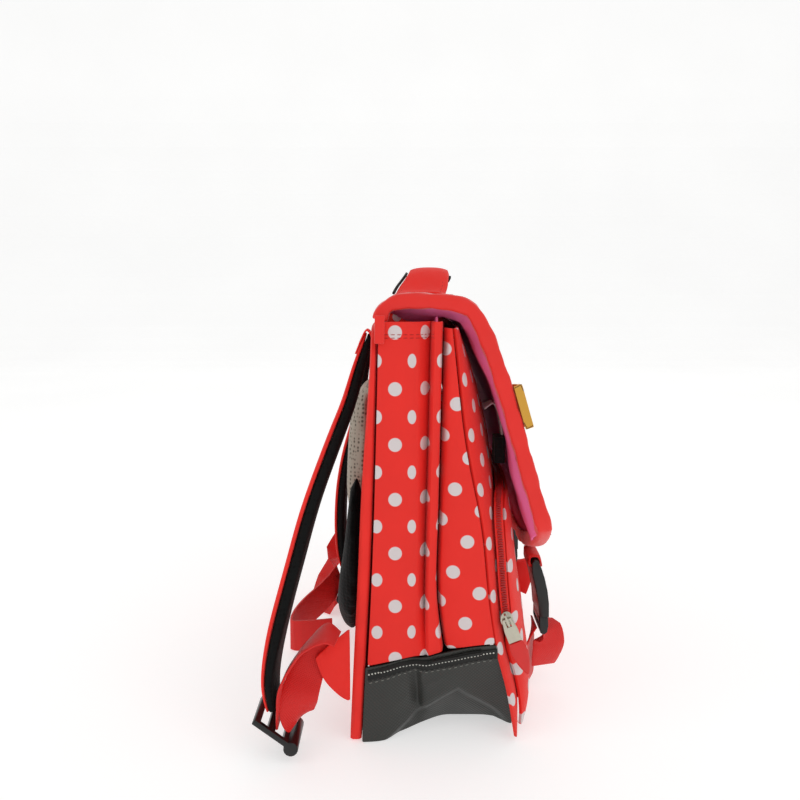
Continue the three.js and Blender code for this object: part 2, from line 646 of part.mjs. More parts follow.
// The strap's cover: its outer layer with rolled edges
function strapCover(name) {
  return sweep(strapStations(name, (w, t) => {
    const inner = t - 2 * t * strapCoverShare;
    return [[-w, inner], [w, inner], [w, t * 0.8], [w - 2, t], [-w + 2, t], [-w, t * 0.8]];
  }));
}

// The strap's mesh pad, on the side that faces the wearer
function strapMesh(name) {
  return sweep(strapStations(name, (w, t) => {
    const outer = t - 2 * t * strapCoverShare - 3 * gap;
    return [
      [-w + 1, outer], [-w + 0.4, -t * 0.2], [-w + 0.9, -t * 0.7], [-w + 3, -t],
      [w - 3, -t], [w - 0.9, -t * 0.7], [w - 0.4, -t * 0.2], [w - 1, outer],
    ];
  }));
}

// Merged points of a geometry, as a solid that can be joined and cut
function toSolid(geometry) {
  const bare = geometry.clone();
  bare.deleteAttribute("normal");
  bare.deleteAttribute("uv");
  const merged = mergeVertices(bare, 1e-4);
  return new wasm.Manifold(new wasm.Mesh({
    numProp: 3, vertProperties: merged.attributes.position.array, triVerts: Uint32Array.from(merged.index.array),
  }));
}

function fromSolid(body) {
  const mesh = body.getMesh();
  const geometry = new THREE.BufferGeometry();
  geometry.setAttribute("position", new THREE.BufferAttribute(Float32Array.from(mesh.vertProperties), 3));
  geometry.setIndex(new THREE.BufferAttribute(Uint32Array.from(mesh.triVerts), 1));
  geometry.computeVertexNormals();
  return geometry;
}

const boxAt = (size, at) => new THREE.BoxGeometry(...size).translate(...at);

// Ladder lock: a frame with two slots and a thick rounded end; x across, y along, z through
function ladderLock() {
  const length = 29;
  const width = webbingWidth + 9;
  const plate = toSolid(boxAt([width, length, 3.4], [0, length / 2, 0]));
  const barrel = toSolid(new THREE.CylinderGeometry(4.6, 4.6, width, 16).rotateZ(Math.PI / 2).translate(0, length, 0.8));
  const slotNear = toSolid(boxAt([webbingWidth + 1, 5.5, 20], [0, 7.2, 0]));
  const slotFar = toSolid(boxAt([webbingWidth + 1, 6.5, 20], [0, 18.5, 0]));
  return fromSolid(plate.add(barrel).subtract(slotNear).subtract(slotFar));
}

// A piece built flat is set with its width, length and face directions at a point
function seat(geometry, at, across, along) {
  const facing = across.clone().cross(along).normalize();
  const matrix = new THREE.Matrix4().makeBasis(across.clone().normalize(), facing.clone().cross(across).normalize(), facing);
  return geometry.applyMatrix4(matrix.setPosition(at));
}

// Wing: the triangle sewn to the lower back edge that carries the webbing
function strapWing(side) {
  const rows = [
    { low: [0, 27], high: [0, 76], out: 0 }, { low: [5, 29], high: [6, 71], out: 1 },
    { low: [12, 37], high: [15, 64.5], out: 3 }, { low: [17, 43.5], high: [22, 58], out: 4 },
  ];
  return shell([0, 1, 2, 3], [0, 1], -1.1, 1.1, (i, end, offset) => {
    const { low, high, out } = rows[i];
    const [reach, z] = end === 0 ? low : high;
    return V(side * (halfWidth(z) - 4 + out + offset), 0.47 * bagDepth + panelThickness + 2 + reach, z);
  });
}

// Buckle pieces, built about a vertical line: x across, y forward is negative, z up
const buckleWidth = webbingWidth + 8;
const buckleSides = [-buckleSpacing / 2, buckleSpacing / 2];
const buckleTop = { y: -68.6, z: 104.5 };

function sideProfile(points, width, x) {
  const shape = new THREE.Shape(points.map(([y, z]) => new THREE.Vector2(y, z)));
  const geometry = new THREE.ExtrudeGeometry(shape, { depth: width, bevelEnabled: false });
  const turn = new THREE.Matrix4().makeBasis(V(0, 1, 0), V(0, 0, 1), V(1, 0, 0));
  return geometry.applyMatrix4(turn).translate(x - width / 2, 0, 0);
}

function buckleSocket(x) {
  const { y, z } = buckleTop;
  const outline = [
    [y + 1, z - 9], [y + 1, z - 2], [y - 0.5, z], [y - 3, z - 0.6], [y - 5.6, z - 6], [y - 7.9, z - 13],
    [y - 10, z - 22], [y - 11.2, z - 31], [y - 11.4, z - 41], [y - 4.6, z - 41], [y - 3.6, z - 30], [y - 1.4, z - 19],
  ];
  const body = toSolid(sideProfile(outline, buckleWidth, x));
  const slot = toSolid(boxAt([webbingWidth + 1, 30, 3], [x, y, z - 5.5]));
  return fromSolid(body.subtract(slot));
}

function bucklePlug(x) {
  const { y, z } = buckleTop;
  const outline = [
    [y - 5, z - 41.3], [y - 11, z - 41.3], [y - 11.4, z - 48], [y - 10.6, z - 53], [y - 8.6, z - 54.4],
    [y - 6, z - 53.6], [y - 5, z - 49],
  ];
  const body = toSolid(sideProfile(outline, buckleWidth - 4, x));
  const slot = toSolid(boxAt([webbingWidth + 1, 30, 3], [x, y, z - 48.5]));
  return fromSolid(body.subtract(slot));
}

// Loop of webbing that hangs from the hem and passes through the socket's slot
function buckleLoop(x) {
  const { y, z } = buckleTop;
  const box = (grow) => [
    new THREE.Vector2(y - 5.4 - grow, z - 4.4 - grow), new THREE.Vector2(y + 1.6 + grow, z - 4.4 - grow),
    new THREE.Vector2(y + 1.6 + grow, z + 0.9 + grow), new THREE.Vector2(y - 3.4 - grow, z + 0.9 + grow),
  ];
  const shape = new THREE.Shape(box(webbingThickness));
  shape.holes.push(new THREE.Path(box(0)));
  const geometry = new THREE.ExtrudeGeometry(shape, { depth: webbingWidth, bevelEnabled: false });
  const turn = new THREE.Matrix4().makeBasis(V(0, 1, 0), V(0, 0, 1), V(1, 0, 0));
  return geometry.applyMatrix4(turn).translate(x - webbingWidth / 2, 0, 0);
}

// Closure webbing from under the bag, up the front of the pocket to the plug
function closureWebbing(x) {
  const wide = V(1, 0, 0);
  const turned = V(1, 0.26 * Math.sign(x), 0);
  return webbing([
    { at: V(x, -56.8, 2.6), wide }, { at: V(x, -62, 3.2), wide }, { at: V(x, -70, 10), wide: turned },
    { at: V(x, -70.9, 22), wide: turned }, { at: V(x, -70.9, 40), wide: turned }, { at: V(x, -72.3, 54), wide },
  ], 14);
}

// Free tail below the plug, twisted so that its face looks sideways
function closureTail(x) {
  const out = -Math.sign(x);
  return webbing([
    { at: V(x, -77.9, 49.9), wide: V(out, 0, 0) }, { at: V(x, -81, 44), wide: V(0.7 * out, -0.7, -0.1) },
    { at: V(x, -84.5, 37), wide: V(0.3 * out, -0.8, -0.5) }, { at: V(x, -89, 27), wide: V(0.2 * out, -0.85, -0.5) },
  ], 10);
}

// Webbing from the wing to the ladder lock, and the free tail beyond it
const webbingRoutes = {
  left: {
    run: [
      { at: V(-153.6, 78.5, 50), wide: V(0, 0.62, 0.78), width: 19 }, { at: V(-156, 84.5, 39), wide: V(-0.12, 0.85, 0.5), width: 23 },
      { at: V(-160.5, 87.5, 27), wide: V(-0.5, 0.86, 0.1), width: 24 }, { at: V(-160, 88.5, 19.2), wide: V(-1, 0.25, 0) },
    ],
    tail: [
      { at: V(-159, 100.2, 20.9), wide: V(-1, 0, 0) }, { at: V(-159.5, 99.8, 32), wide: V(-1, 0, 0) },
      { at: V(-160, 98, 45), wide: V(-1, 0.05, 0) }, { at: V(-160, 92, 57), wide: V(-1, 0.1, 0) },
      { at: V(-161, 82.5, 70), wide: V(-1, 0.16, 0) }, { at: V(-163, 71, 79), wide: V(-1, 0.05, -0.16) },
      { at: V(-164, 62.5, 76), wide: V(-1, 0, 0) },
    ],
  },
  right: {
    run: [
      { at: V(153.6, 78.5, 50), wide: V(0, 0.62, 0.78), width: 19 }, { at: V(147, 86.5, 36), wide: V(0.4, 0.1, 0.9), width: 21 },
      { at: V(132, 93, 17), wide: V(0.5, -0.5, 0.6), width: 22 }, { at: V(112, 96, 5.5), wide: V(0.3, -1, 0.25), width: 22 },
      { at: V(92, 92, 2.6), wide: V(0.8, -0.7, 0), width: 23 }, { at: V(81, 83.6, 6.5), wide: V(1, -0.05, 0), width: 24 },
      { at: V(79, 81.6, 17), wide: V(1, 0, 0), width: 24 },
    ],
    tail: [
      { at: V(72, 78.4, 38.8), wide: V(0, 0, 1), width: 21 }, { at: V(55, 87, 28), wide: V(0, 0.1, 1) },
      { at: V(28, 103, 20), wide: V(0, 0.1, 1) }, { at: V(6, 111, 16), wide: V(0, 0, 1) },
      { at: V(-6, 111, 13.6), wide: V(0, 0, 1) }, { at: V(-7, 102, 13.4), wide: V(0, 0, 1) },
      { at: V(-2, 79, 13.4), wide: V(0, 0, 1) },
    ],
  },
};

// Carry handle: flat ends sewn to the flap, and a rounded grip that leans back
const handleTop = { y: 9.5, z: 286.6 };
const handleArch = (t) => smoothstep(1 - Math.abs(t), 0.08, 0.5) ** 0.8;
function handleStations(section) {
  const turn = 0.01;
  return steps(18, -1, 1).map((t) => {
    const arch = handleArch(t);
    const climb = (handleArch(t + turn) - handleArch(t - turn)) * (handleRise - 6);
    const tangent = V(turn * handleLength, 0, climb).normalize();
    return {
      origin: V((t * handleLength) / 2, handleTop.y - handleLean * arch, handleTop.z + arch * (handleRise - 6)),
      across: V(0, -1, 0), up: tangent.cross(V(0, -1, 0)).negate(), section: section(arch),
    };
  });
}

function handleGrip() {
  return sweep(handleStations((arch) => {
    const w = lerp(handleWidth, handleWidth * 0.84, smoothstep(arch, 0.3, 0.95)) / 2;
    const t = lerp(2.4, 5.4, smoothstep(arch, 0.3, 0.95));
    return [[-w, 0], [-w * 0.6, -0.4], [w * 0.6, -0.4], [w, 0], [w * 0.92, t * 0.6], [w * 0.55, t], [-w * 0.55, t], [-w * 0.92, t * 0.6]];
  }));
}

function handleUnderpad() {
  const section = (arch) => {
    const w = lerp(handleWidth * 0.9, handleWidth * 0.92, smoothstep(arch, 0.3, 0.95)) / 2;
    return [[-w, -0.9], [-w, -2.6], [-w * 0.6, -3.4], [w * 0.6, -3.4], [w, -2.6], [w, -0.9]];
  };
  return sweep(handleStations(section).slice(3, -3));
}

function handlePiping() {
  const section = (arch) => {
    const w = lerp(handleWidth, handleWidth * 0.84, smoothstep(arch, 0.3, 0.95)) / 2;
    return ovalSection(2.2, 2.2, 6).map(([a, b]) => [a - w - 1.5, b + 0.6]);
  };
  return sweep(handleStations(section).slice(1, -1));
}

// Zip slider with its bail, in a frame whose z points out of the zip and y points up along it
const pullTurn = Math.atan2(0.37, 0.93);
const sliderHeight = 82;
const sliderX = -(pocketHalf(sliderHeight) + zipClear);
const sliderAt = V(sliderX - fabric / 2, zipBase(sliderX, sliderHeight) - zipWidth / 2, sliderHeight);
function zipSlider() {
  const plate = toSolid(new THREE.CylinderGeometry(4, 3.4, 2.6, 14).rotateX(Math.PI / 2).scale(1, 1.3, 1).translate(0, 0, 1.6));
  const arch = toSolid(boxAt([1.4, 8, 4.2], [0, 0, 4.3]).rotateZ(pullTurn));
  const eye = toSolid(boxAt([6, 5.4, 2.6], [0, 0, 4.2]).rotateZ(pullTurn));
  return fromSolid(plate.add(arch.subtract(eye)));
}

// Puller: a plate with a window round the bail; its bar lies in the bail's eye
function zipPuller() {
  const shape = new THREE.Shape();
  shape.moveTo(-3.2, 0.7);
  shape.lineTo(-4.4, -7);
  shape.lineTo(-4.4, -15.5);
  shape.lineTo(4.4, -15.5);
  shape.lineTo(4.4, -7);
  shape.lineTo(3.2, 0.7);
  const window = new THREE.Path();
  window.moveTo(-1.5, -0.7);
  window.lineTo(1.5, -0.7);
  window.lineTo(1.5, -4.9);
  window.lineTo(-1.5, -4.9);
  shape.holes.push(window);
  return new THREE.ExtrudeGeometry(shape, { depth: 1.2, bevelEnabled: false }).translate(0, 0, -0.6);
}

function zipPullTab() {
  const rows = [
    { at: 15.9, half: 4.4, thick: 2.4 }, { at: 20, half: 5.6, thick: 3.2 }, { at: 27, half: 5.2, thick: 3.2 },
    { at: 34, half: 3.2, thick: 2.6 }, { at: 38.5, half: 1, thick: 1.6 },
  ];
  return sweep(rows.map(({ at, half, thick }) => ({
    origin: V(0, -at, 0), across: V(1, 0, 0), up: V(0, 0, 1), section: ovalSection(half * 2, thick, 10),
  })));
}

// Ribbon loop and its keeper on the front panel, under the flap
function ribbonLoop() {
  const x = -112;
  const front = (z) => frontY(x, z) - 3.6;
  return sweep(routeStations([
    { at: V(x, front(216) - 0.2, 214), wide: V(1, 0, 0.2), width: 12 }, { at: V(x, front(214) - 6, 217), wide: V(1, 0, 0), width: 12 },
    { at: V(x, front(205) - 8.5, 208), wide: V(1, 0, 0), width: 12 }, { at: V(x, front(195) - 8, 196), wide: V(1, 0, 0), width: 12 },
  ], 10, (width) => slabSection(width, 1.2)));
}

function ribbonKeeper() {
  const x = -112;
  const y = frontY(x, 185) - 8.2;
  return boxAt([16, 7, 18], [x, y, 186.2]);
}

// Piping along the bottom of the front panel
function frontPiping() {
  const z = 3.4;
  const half = halfWidth(0) - tuckDepth * 0.76;
  return sweep(steps(8, -1, 1).map((t) => ({
    origin: V(t * half, lineAt("front", z) - frontRim * 0.6, z - 1.6), across: V(0, 1, 0), up: V(0, 0, 1),
    section: ovalSection(2.4, 2.4, 8),
  })));
}

// Finishes
const finish = (color, roughness, metalness = 0) => new THREE.MeshStandardMaterial({ color, roughness, metalness });
const redCloth = () => finish("#e8312d", 0.8);
const blackMesh = () => finish("#14171a", 0.9);
const blackPlastic = () => finish("#1b1d1f", 0.45);

const bag = new THREE.Group();
function add(group, name, geometry, material) {
  const mesh = new THREE.Mesh(geometry, material);
  mesh.name = name;
  group.add(mesh);
  return mesh;
}

const sides = [["left", -1, buckleSides[0]], ["right", 1, buckleSides[1]]];
add(bag, "back_panel", backPanel(), redCloth());
add(bag, "upper_back_pad", upperBackPad(), finish("#c8beb0", 0.9));
add(bag, "lower_back_pad", lowerBackPad(), blackMesh());
add(bag, "divider_panel", dividerPanel(), redCloth());
add(bag, "front_panel", frontPanel(), redCloth());
add(bag, "bottom_boot", bottomBoot(), finish("#3b3c37", 0.55));
add(bag, "front_pocket", frontPocket(), redCloth());
add(bag, "pocket_zip_tape", pocketZip(), finish("#c9221f", 0.6));
add(bag, "front_piping", frontPiping(), redCloth());
add(bag, "flap_outer", flapSheet(gap, gap + flapPadding, 1.3), redCloth());
add(bag, "flap_lining", flapSheet(-gap - liningThickness, -gap, 1.3, liningSag), finish("#c8508c", 0.7));
add(bag, "flap_binding", flapBinding(), redCloth());
add(bag, "side_label", sideLabel(), finish("#d7a53c", 0.6));
add(bag, "handle_grip", handleGrip(), redCloth());
add(bag, "handle_underpad", handleUnderpad(), blackMesh());
add(bag, "handle_piping", handlePiping(), blackMesh());
add(bag, "ribbon_loop", ribbonLoop(), finish("#a89494", 0.7));
add(bag, "ribbon_keeper", ribbonKeeper(), blackPlastic());
for (const [name, side, x] of sides) {
  add(bag, `rear_gusset_${name}`, rearGusset(side), redCloth());
  add(bag, `front_gusset_${name}`, frontGusset(side), redCloth());
  add(bag, `boot_trim_${name}`, bootTrim(side), finish("#c9cbc8", 0.4));
  add(bag, `binding_end_${name}`, bindingEnd(side), redCloth());
  add(bag, `strap_cover_${name}`, strapCover(name), redCloth());
  add(bag, `strap_mesh_${name}`, strapMesh(name), blackMesh());
  add(bag, `strap_wing_${name}`, strapWing(side), redCloth());
  add(bag, `strap_webbing_${name}`, webbing(webbingRoutes[name].run, 12), redCloth());
  add(bag, `strap_tail_${name}`, webbing(webbingRoutes[name].tail, 18), redCloth());
  add(bag, `buckle_loop_${name}`, buckleLoop(x), redCloth());
  add(bag, `buckle_socket_${name}`, buckleSocket(x), blackPlastic());
  add(bag, `buckle_plug_${name}`, bucklePlug(x), blackPlastic());
  add(bag, `closure_webbing_${name}`, closureWebbing(x), redCloth());
  add(bag, `closure_tail_${name}`, closureTail(x), redCloth());
}
const lockLeft = seat(ladderLock(), V(-159, 114, 27.8), V(1, 0, 0), V(0, -0.8, -0.6));
const lockRight = seat(ladderLock(), V(78, 73.5, 47.1), V(1, 0, 0), V(0, 0.05, -1));
add(bag, "ladder_lock_left", lockLeft, blackPlastic());
add(bag, "ladder_lock_right", lockRight, blackPlastic());

// The zip's metal parts sit in a group turned to face sideways, the pull tilted as it hangs
const zip = new THREE.Group();
zip.position.copy(sliderAt);
zip.quaternion.setFromRotationMatrix(new THREE.Matrix4().makeBasis(V(0, -1, 0), V(0, 0, 1), V(-1, 0, 0)));
add(zip, "zip_slider", zipSlider(), finish("#b9bbae", 0.35, 1));
const pull = new THREE.Group();
pull.position.set(0, 0, 4.2);
pull.rotation.z = pullTurn;
add(pull, "zip_puller", zipPuller(), finish("#b9bbae", 0.35, 1));
add(pull, "zip_pull_tab", zipPullTab(), finish("#d8262a", 0.5));
zip.add(pull);
bag.add(zip);

export default bag;
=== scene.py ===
"""Looks of a child's school ransel: polka-dot polyester, a coated boot, a padded flap and webbing straps."""

import json
import math

import bmesh
import bpy
import numpy as np
from bpy.props import FloatProperty, FloatVectorProperty, IntProperty, PointerProperty
from mathutils import Matrix, Vector
from mathutils.bvhtree import BVHTree

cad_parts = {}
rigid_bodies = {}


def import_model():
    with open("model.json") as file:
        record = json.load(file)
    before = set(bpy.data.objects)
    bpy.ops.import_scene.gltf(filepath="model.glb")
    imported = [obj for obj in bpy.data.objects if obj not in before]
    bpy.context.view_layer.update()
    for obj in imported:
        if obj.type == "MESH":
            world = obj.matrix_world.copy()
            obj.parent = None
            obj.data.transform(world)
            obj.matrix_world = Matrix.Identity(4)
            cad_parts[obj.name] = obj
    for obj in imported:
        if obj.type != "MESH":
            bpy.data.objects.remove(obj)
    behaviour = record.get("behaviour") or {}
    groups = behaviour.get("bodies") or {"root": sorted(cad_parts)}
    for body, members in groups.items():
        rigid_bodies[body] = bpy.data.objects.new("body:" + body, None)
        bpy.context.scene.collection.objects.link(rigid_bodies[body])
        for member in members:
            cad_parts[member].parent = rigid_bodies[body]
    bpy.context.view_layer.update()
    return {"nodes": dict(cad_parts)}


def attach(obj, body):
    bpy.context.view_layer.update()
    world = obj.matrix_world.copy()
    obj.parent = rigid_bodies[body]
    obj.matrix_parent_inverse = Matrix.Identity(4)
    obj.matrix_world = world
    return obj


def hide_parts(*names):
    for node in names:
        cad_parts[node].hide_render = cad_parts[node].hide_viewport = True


bl_info = {
    "name": "School Ransel",
    "version": (1, 0, 0),
    "blender": (4, 5, 0),
    "location": "3D View > Sidebar > Ransel",
    "description": "Builds the cloth, trims, hardware and stitching of a school ransel",
    "category": "Object",
}

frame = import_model()
MM = 0.001
SIDES = (("left", -1), ("right", 1))

# Flap in profile from the back panel over the bag to the hem: y and z in millimetres
FLAP_PROFILE = (
    (35.5, 271.6), (34.0, 277.6), (29.9, 281.7), (23.0, 283.2), (8.0, 282.7), (-8.0, 281.5), (-18.5, 278.1),
    (-23.5, 270.9), (-31.0, 256.0), (-37.5, 237.1), (-46.5, 207.1), (-52.5, 187.1), (-58.3, 166.1),
    (-63.5, 152.0), (-67.0, 138.0), (-69.0, 124.2), (-69.7, 112.1), (-69.7, 101.8),
)

# Cloth of the rear side wall: y on the bag against the distance across the cloth, in millimetres
WALL_CLOTH = (
    (-10.0, -50.0), (-4.0, -43.0), (2.0, -34.0), (6.8, -29.0), (11.0, -22.5), (14.0, -17.5), (16.5, -13.0),
    (21.0, -6.2), (27.0, 0.0), (33.0, 6.1), (38.6, 13.0), (43.0, 18.5), (49.0, 26.0),
)

# Front seam: y at heights z, and how far the front panel's rim stands before it, in millimetres
FRONT_SEAM = ((0.0, -50.0), (38.0, -43.5), (61.0, -36.5), (95.0, -31.5), (139.0, -27.2), (191.0, -16.9),
              (245.0, -10.3), (270.0, -7.4))
RIM = 8.0

# Edges sharper than these are cut cloth, which stays sharp, and corners of a moulding, which get a radius
CUT_EDGE = math.radians(42.0)
MOULD_EDGE = math.radians(35.0)

# Half the blur at a printed dot's edge, and how near corners of a cut node are joined, in metres
DOT_BLUR = 0.00025
WELD = 0.00001

# Back pads: grid of their skin in metres, pressure and steps of their blowing up
SKIN = 0.0045
PRESSURE = 4.0
STEPS = 20


def linear(code):
    """Linear red, green and blue of an sRGB hex colour."""
    shares = [int(code[i:i + 2], 16) / 255 for i in (1, 3, 5)]
    return tuple(c / 12.92 if c <= 0.04045 else ((c + 0.055) / 1.055) ** 2.4 for c in shares)


def rgba(colour):
    """The colour with full cover."""
    return (*colour[:3], 1.0)


class RanselCloth(bpy.types.PropertyGroup):
    """Colours and pattern of the fabrics."""

    red: FloatVectorProperty(name="Red", description="Red polyester", subtype="COLOR",
                             default=linear("#F52A20"))
    dot: FloatVectorProperty(name="Dot", description="Printed dots", subtype="COLOR",
                             default=linear("#DCD2D2"))
    boot: FloatVectorProperty(name="Boot", description="Coated base", subtype="COLOR",
                             default=linear("#2B2C28"))
    lining: FloatVectorProperty(name="Lining", description="Flap lining", subtype="COLOR",
                             default=linear("#FF86C0"))
    label: FloatVectorProperty(name="Label", description="Side label", subtype="COLOR",
                             default=linear("#D9A23A"))
    dot_size: FloatProperty(name="Dot size", description="Diameter of a dot", default=0.0086, unit="LENGTH")
    dot_across: FloatProperty(name="Across", description="Pitch of the dots across", default=0.026,
                              unit="LENGTH")
    dot_up: FloatProperty(name="Up", description="Pitch of the dots upwards", default=0.0345, unit="LENGTH")
    thread: FloatProperty(name="Thread", description="Spacing of the weave", default=0.0007, unit="LENGTH")


class RanselSewing(bpy.types.PropertyGroup):
    """Sizes of the seams and the zip."""

    stitch: FloatProperty(name="Stitch", description="Length of a stitch", default=0.0026, unit="LENGTH")
    pitch: FloatProperty(name="Pitch", description="Distance between stitches", default=0.0038, unit="LENGTH")
    radius: FloatProperty(name="Radius", description="Radius of the thread", default=0.00032, unit="LENGTH")
    tooth: FloatProperty(name="Tooth", description="Distance between zip teeth", default=0.0016,
                         unit="LENGTH")
    levels: IntProperty(name="Roundness", description="Subdivisions of a sewn piece", default=2, min=1, max=4)


class RanselStage(bpy.types.PropertyGroup):
    """Camera and light."""

    lens: FloatProperty(name="Lens", description="Focal length", default=39.0)
    tilt: FloatProperty(name="Tilt", description="Camera's tilt from straight down", subtype="ANGLE",
                        default=math.radians(82.77))
    light: FloatProperty(name="Light", description="Strength of the main light", default=7.0)


# Selecting and finishing

def only(piece):
    """Makes one object the selected and active one."""
    for other in bpy.context.scene.objects:
        other.select_set(False)
    piece.select_set(True)
    bpy.context.view_layer.objects.active = piece


def modified(piece, name, kind, **settings):
    """Gives a piece a modifier with its settings."""
    modifier = piece.modifiers.new(name, kind)
    for key, value in settings.items():
        setattr(modifier, key, value)


def rounded(piece, levels):
    """Gives a piece a subdivision that is the same in the view and in the render."""
    modified(piece, "Rounding", "SUBSURF", levels=levels, render_levels=levels)


def apply_all(piece):
    """Applies every modifier of a piece."""
    only(piece)
    for modifier in list(piece.modifiers):
        bpy.ops.object.modifier_apply(modifier=modifier.name)


def finished(piece, material, body="bag", nodes=(), smooth=50.0):
    """Gives a piece its finish, its body and the cut nodes that it stands for."""
    piece.data.materials.clear()
    piece.data.materials.append(material)
    only(piece)
    bpy.ops.object.shade_smooth_by_angle(angle=math.radians(smooth))
    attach(piece, body)
    if nodes:
        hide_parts(*nodes)
    return piece


def from_mesh(name, points, faces):
    """A new object from points and faces."""
    mesh = bpy.data.meshes.new(name)
    mesh.from_pydata([tuple(p) for p in points], [], faces)
    mesh.update()
    piece = bpy.data.objects.new(name, mesh)
    bpy.context.scene.collection.objects.link(piece)
    return piece


def surface_of(*parts):
    """A tree for casting on one piece or on several at once."""
    points = []
    faces = []
    for part in parts:
        start = len(points)
        points.extend(v.co.copy() for v in part.data.vertices)
        faces.extend(tuple(start + i for i in p.vertices) for p in part.data.polygons)
    return BVHTree.FromPolygons(points, faces)


def turned_out(piece):
    """Turns every face of a piece outwards."""
    only(piece)
    bpy.ops.object.mode_set(mode="EDIT")
    bpy.ops.mesh.select_all(action="SELECT")
    bpy.ops.mesh.normals_make_consistent(inside=False)
    bpy.ops.object.mode_set(mode="OBJECT")


def merged_copy(node, name):
    """A copy of a cut node's mesh with its corners joined and its triangles paired."""
    piece = bpy.data.objects.new(name, frame["nodes"][node].data.copy())
    bpy.context.scene.collection.objects.link(piece)
    only(piece)
    bpy.ops.mesh.customdata_custom_splitnormals_clear()
    bpy.ops.object.mode_set(mode="EDIT")
    bpy.ops.mesh.select_all(action="SELECT")
    bpy.ops.mesh.remove_doubles(threshold=WELD)
    bpy.ops.mesh.tris_convert_to_quads(face_threshold=math.radians(32), shape_threshold=math.radians(100))
    bpy.ops.object.mode_set(mode="OBJECT")
    return piece


def creased(piece, strength):
    """Creases the cut edges of a piece."""
    form = bmesh.new()
    form.from_mesh(piece.data)
    layer = form.edges.layers.float.get("crease_edge") or form.edges.layers.float.new("crease_edge")
    for edge in form.edges:
        sharp = len(edge.link_faces) == 2 and edge.calc_face_angle(0.0) > CUT_EDGE
        edge[layer] = strength if sharp else 0.0
    form.to_mesh(piece.data)
    form.free()


def shifted(piece, move):
    """Moves each corner of a piece by what move gives for its place and normal."""
    for vertex in piece.data.vertices:
        vertex.co += Vector(move(vertex.co, vertex.normal))
    piece.data.update()


def cloth_map(piece, place):
    """A map in metres on the cloth: place gives it for a point."""
    for other in list(piece.data.uv_layers):
        piece.data.uv_layers.remove(other)
    layer = piece.data.uv_layers.new(name="Cloth")
    spots = [place(v.co) for v in piece.data.vertices]
    for loop in piece.data.loops:
        layer.data[loop.index].uv = spots[loop.vertex_index]


def along_profile(y, z):
    """Distance along the flap's profile of the nearest point on it, in millimetres."""
    best = (math.inf, 0.0)
    run = 0.0
    for (ya, za), (yb, zb) in zip(FLAP_PROFILE, FLAP_PROFILE[1:]):
        length = math.hypot(yb - ya, zb - za)
        share = min(max(((y - ya) * (yb - ya) + (z - za) * (zb - za)) / length ** 2, 0), 1)
        far = math.hypot(ya + share * (yb - ya) - y, za + share * (zb - za) - z)
        best = min(best, (far, run + share * length))
        run += length
    return best[1]


def wall_place(co):
    """Rear side wall: across the cloth and up."""
    ys, across = zip(*WALL_CLOTH)
    return (float(np.interp(co.y / MM, ys, across)) * MM, co.z - 0.0576)


def wedge_place(co):
    """Front side wall: its cloth is cut along the leaning front seam."""
    y, z = co.y + 0.0173, co.z - 0.0806
    return (0.973 * y - 0.23 * z, 0.23 * y + 0.973 * z)


def front_place(co):
    """Front panel and pocket: across and up, on round the rim to the front seam."""
    heights, seams = zip(*FRONT_SEAM)
    behind = RIM - (float(np.interp(co.z / MM, heights, seams)) - co.y / MM)
    round_rim = max(behind, 0.0) * MM if abs(co.x) > 0.12 else 0.0
    return (math.copysign(abs(co.x) + round_rim, co.x) - 0.004, co.z + 0.006)


def strip_place(co):
    """Webbing that runs mainly up and back."""
    return (co.x, co.z + co.y)


def flap_place(co):
    """Flap: across and along its profile."""
    return (co.x + 0.0085, along_profile(co.y / MM, co.z / MM) * MM - 0.0475)


# Materials

def fresh(name):
    """An empty material with its shader."""
    material = bpy.data.materials.new(name)
    material.use_nodes = True
    return material, material.node_tree, material.node_tree.nodes["Principled BSDF"]


def add(tree, kind, feeds=None, **settings):
    """Adds a node with its settings, and feeds its inputs with values or sockets."""
    node = tree.nodes.new(kind)
    for key, value in settings.items():
        setattr(node, key, value)
    for key, value in (feeds or {}).items():
        if isinstance(value, bpy.types.NodeSocket):
            tree.links.new(value, node.inputs[key])
        else:
            node.inputs[key].default_value = value
    return node


def valued(shader, **values):
    """Sets values on a shader's own sockets: Sheen_Weight stands for Sheen Weight."""
    for key, value in values.items():
        shader.inputs[key.replace("_", " ")].default_value = value


def cloth_place(tree):
    """The piece's own map in metres."""
    return add(tree, "ShaderNodeUVMap", uv_map="Cloth").outputs["UV"]


def object_place(tree):
    """Object coordinates in metres."""
    return add(tree, "ShaderNodeTexCoord").outputs["Object"]


def waves(tree, place, pitches):
    """Crossed waves with one pitch for each axis: the height of a plain weave."""
    scaled = add(tree, "ShaderNodeVectorMath", {0: place, 1: [math.tau / p if p else 0 for p in pitches]},
                 operation="MULTIPLY").outputs[0]
    swing = add(tree, "ShaderNodeVectorMath", {0: scaled}, operation="SINE").outputs[0]
    parts = add(tree, "ShaderNodeSeparateXYZ", {0: swing}).outputs
    used = [parts[i] for i, pitch in enumerate(pitches) if pitch]
    height = used[0]
    for part in used[1:]:
        height = add(tree, "ShaderNodeMath", {0: height, 1: part}, operation="MULTIPLY").outputs[0]
    return height


def bumped(tree, shader, layers):
    """Stacks bumps of (height, distance, strength) on the shader's normal."""
    normal = None
    for height, distance, strength in layers:
        feeds = {"Height": height, "Distance": distance, "Strength": strength}
        if normal:
            feeds["Normal"] = normal
        normal = add(tree, "ShaderNodeBump", feeds).outputs[0]
    tree.links.new(normal, shader.inputs["Normal"])


def mixed(tree, share, first, second, blend="MIX"):
    """Mixes two colours by a share."""
    node = add(tree, "ShaderNodeMix", {0: share}, data_type="RGBA", blend_type=blend)
    for key, value in ((6, first), (7, second)):
        if isinstance(value, bpy.types.NodeSocket):
            tree.links.new(value, node.inputs[key])
        else:
            node.inputs[key].default_value = rgba(value)
    return node.outputs[2]


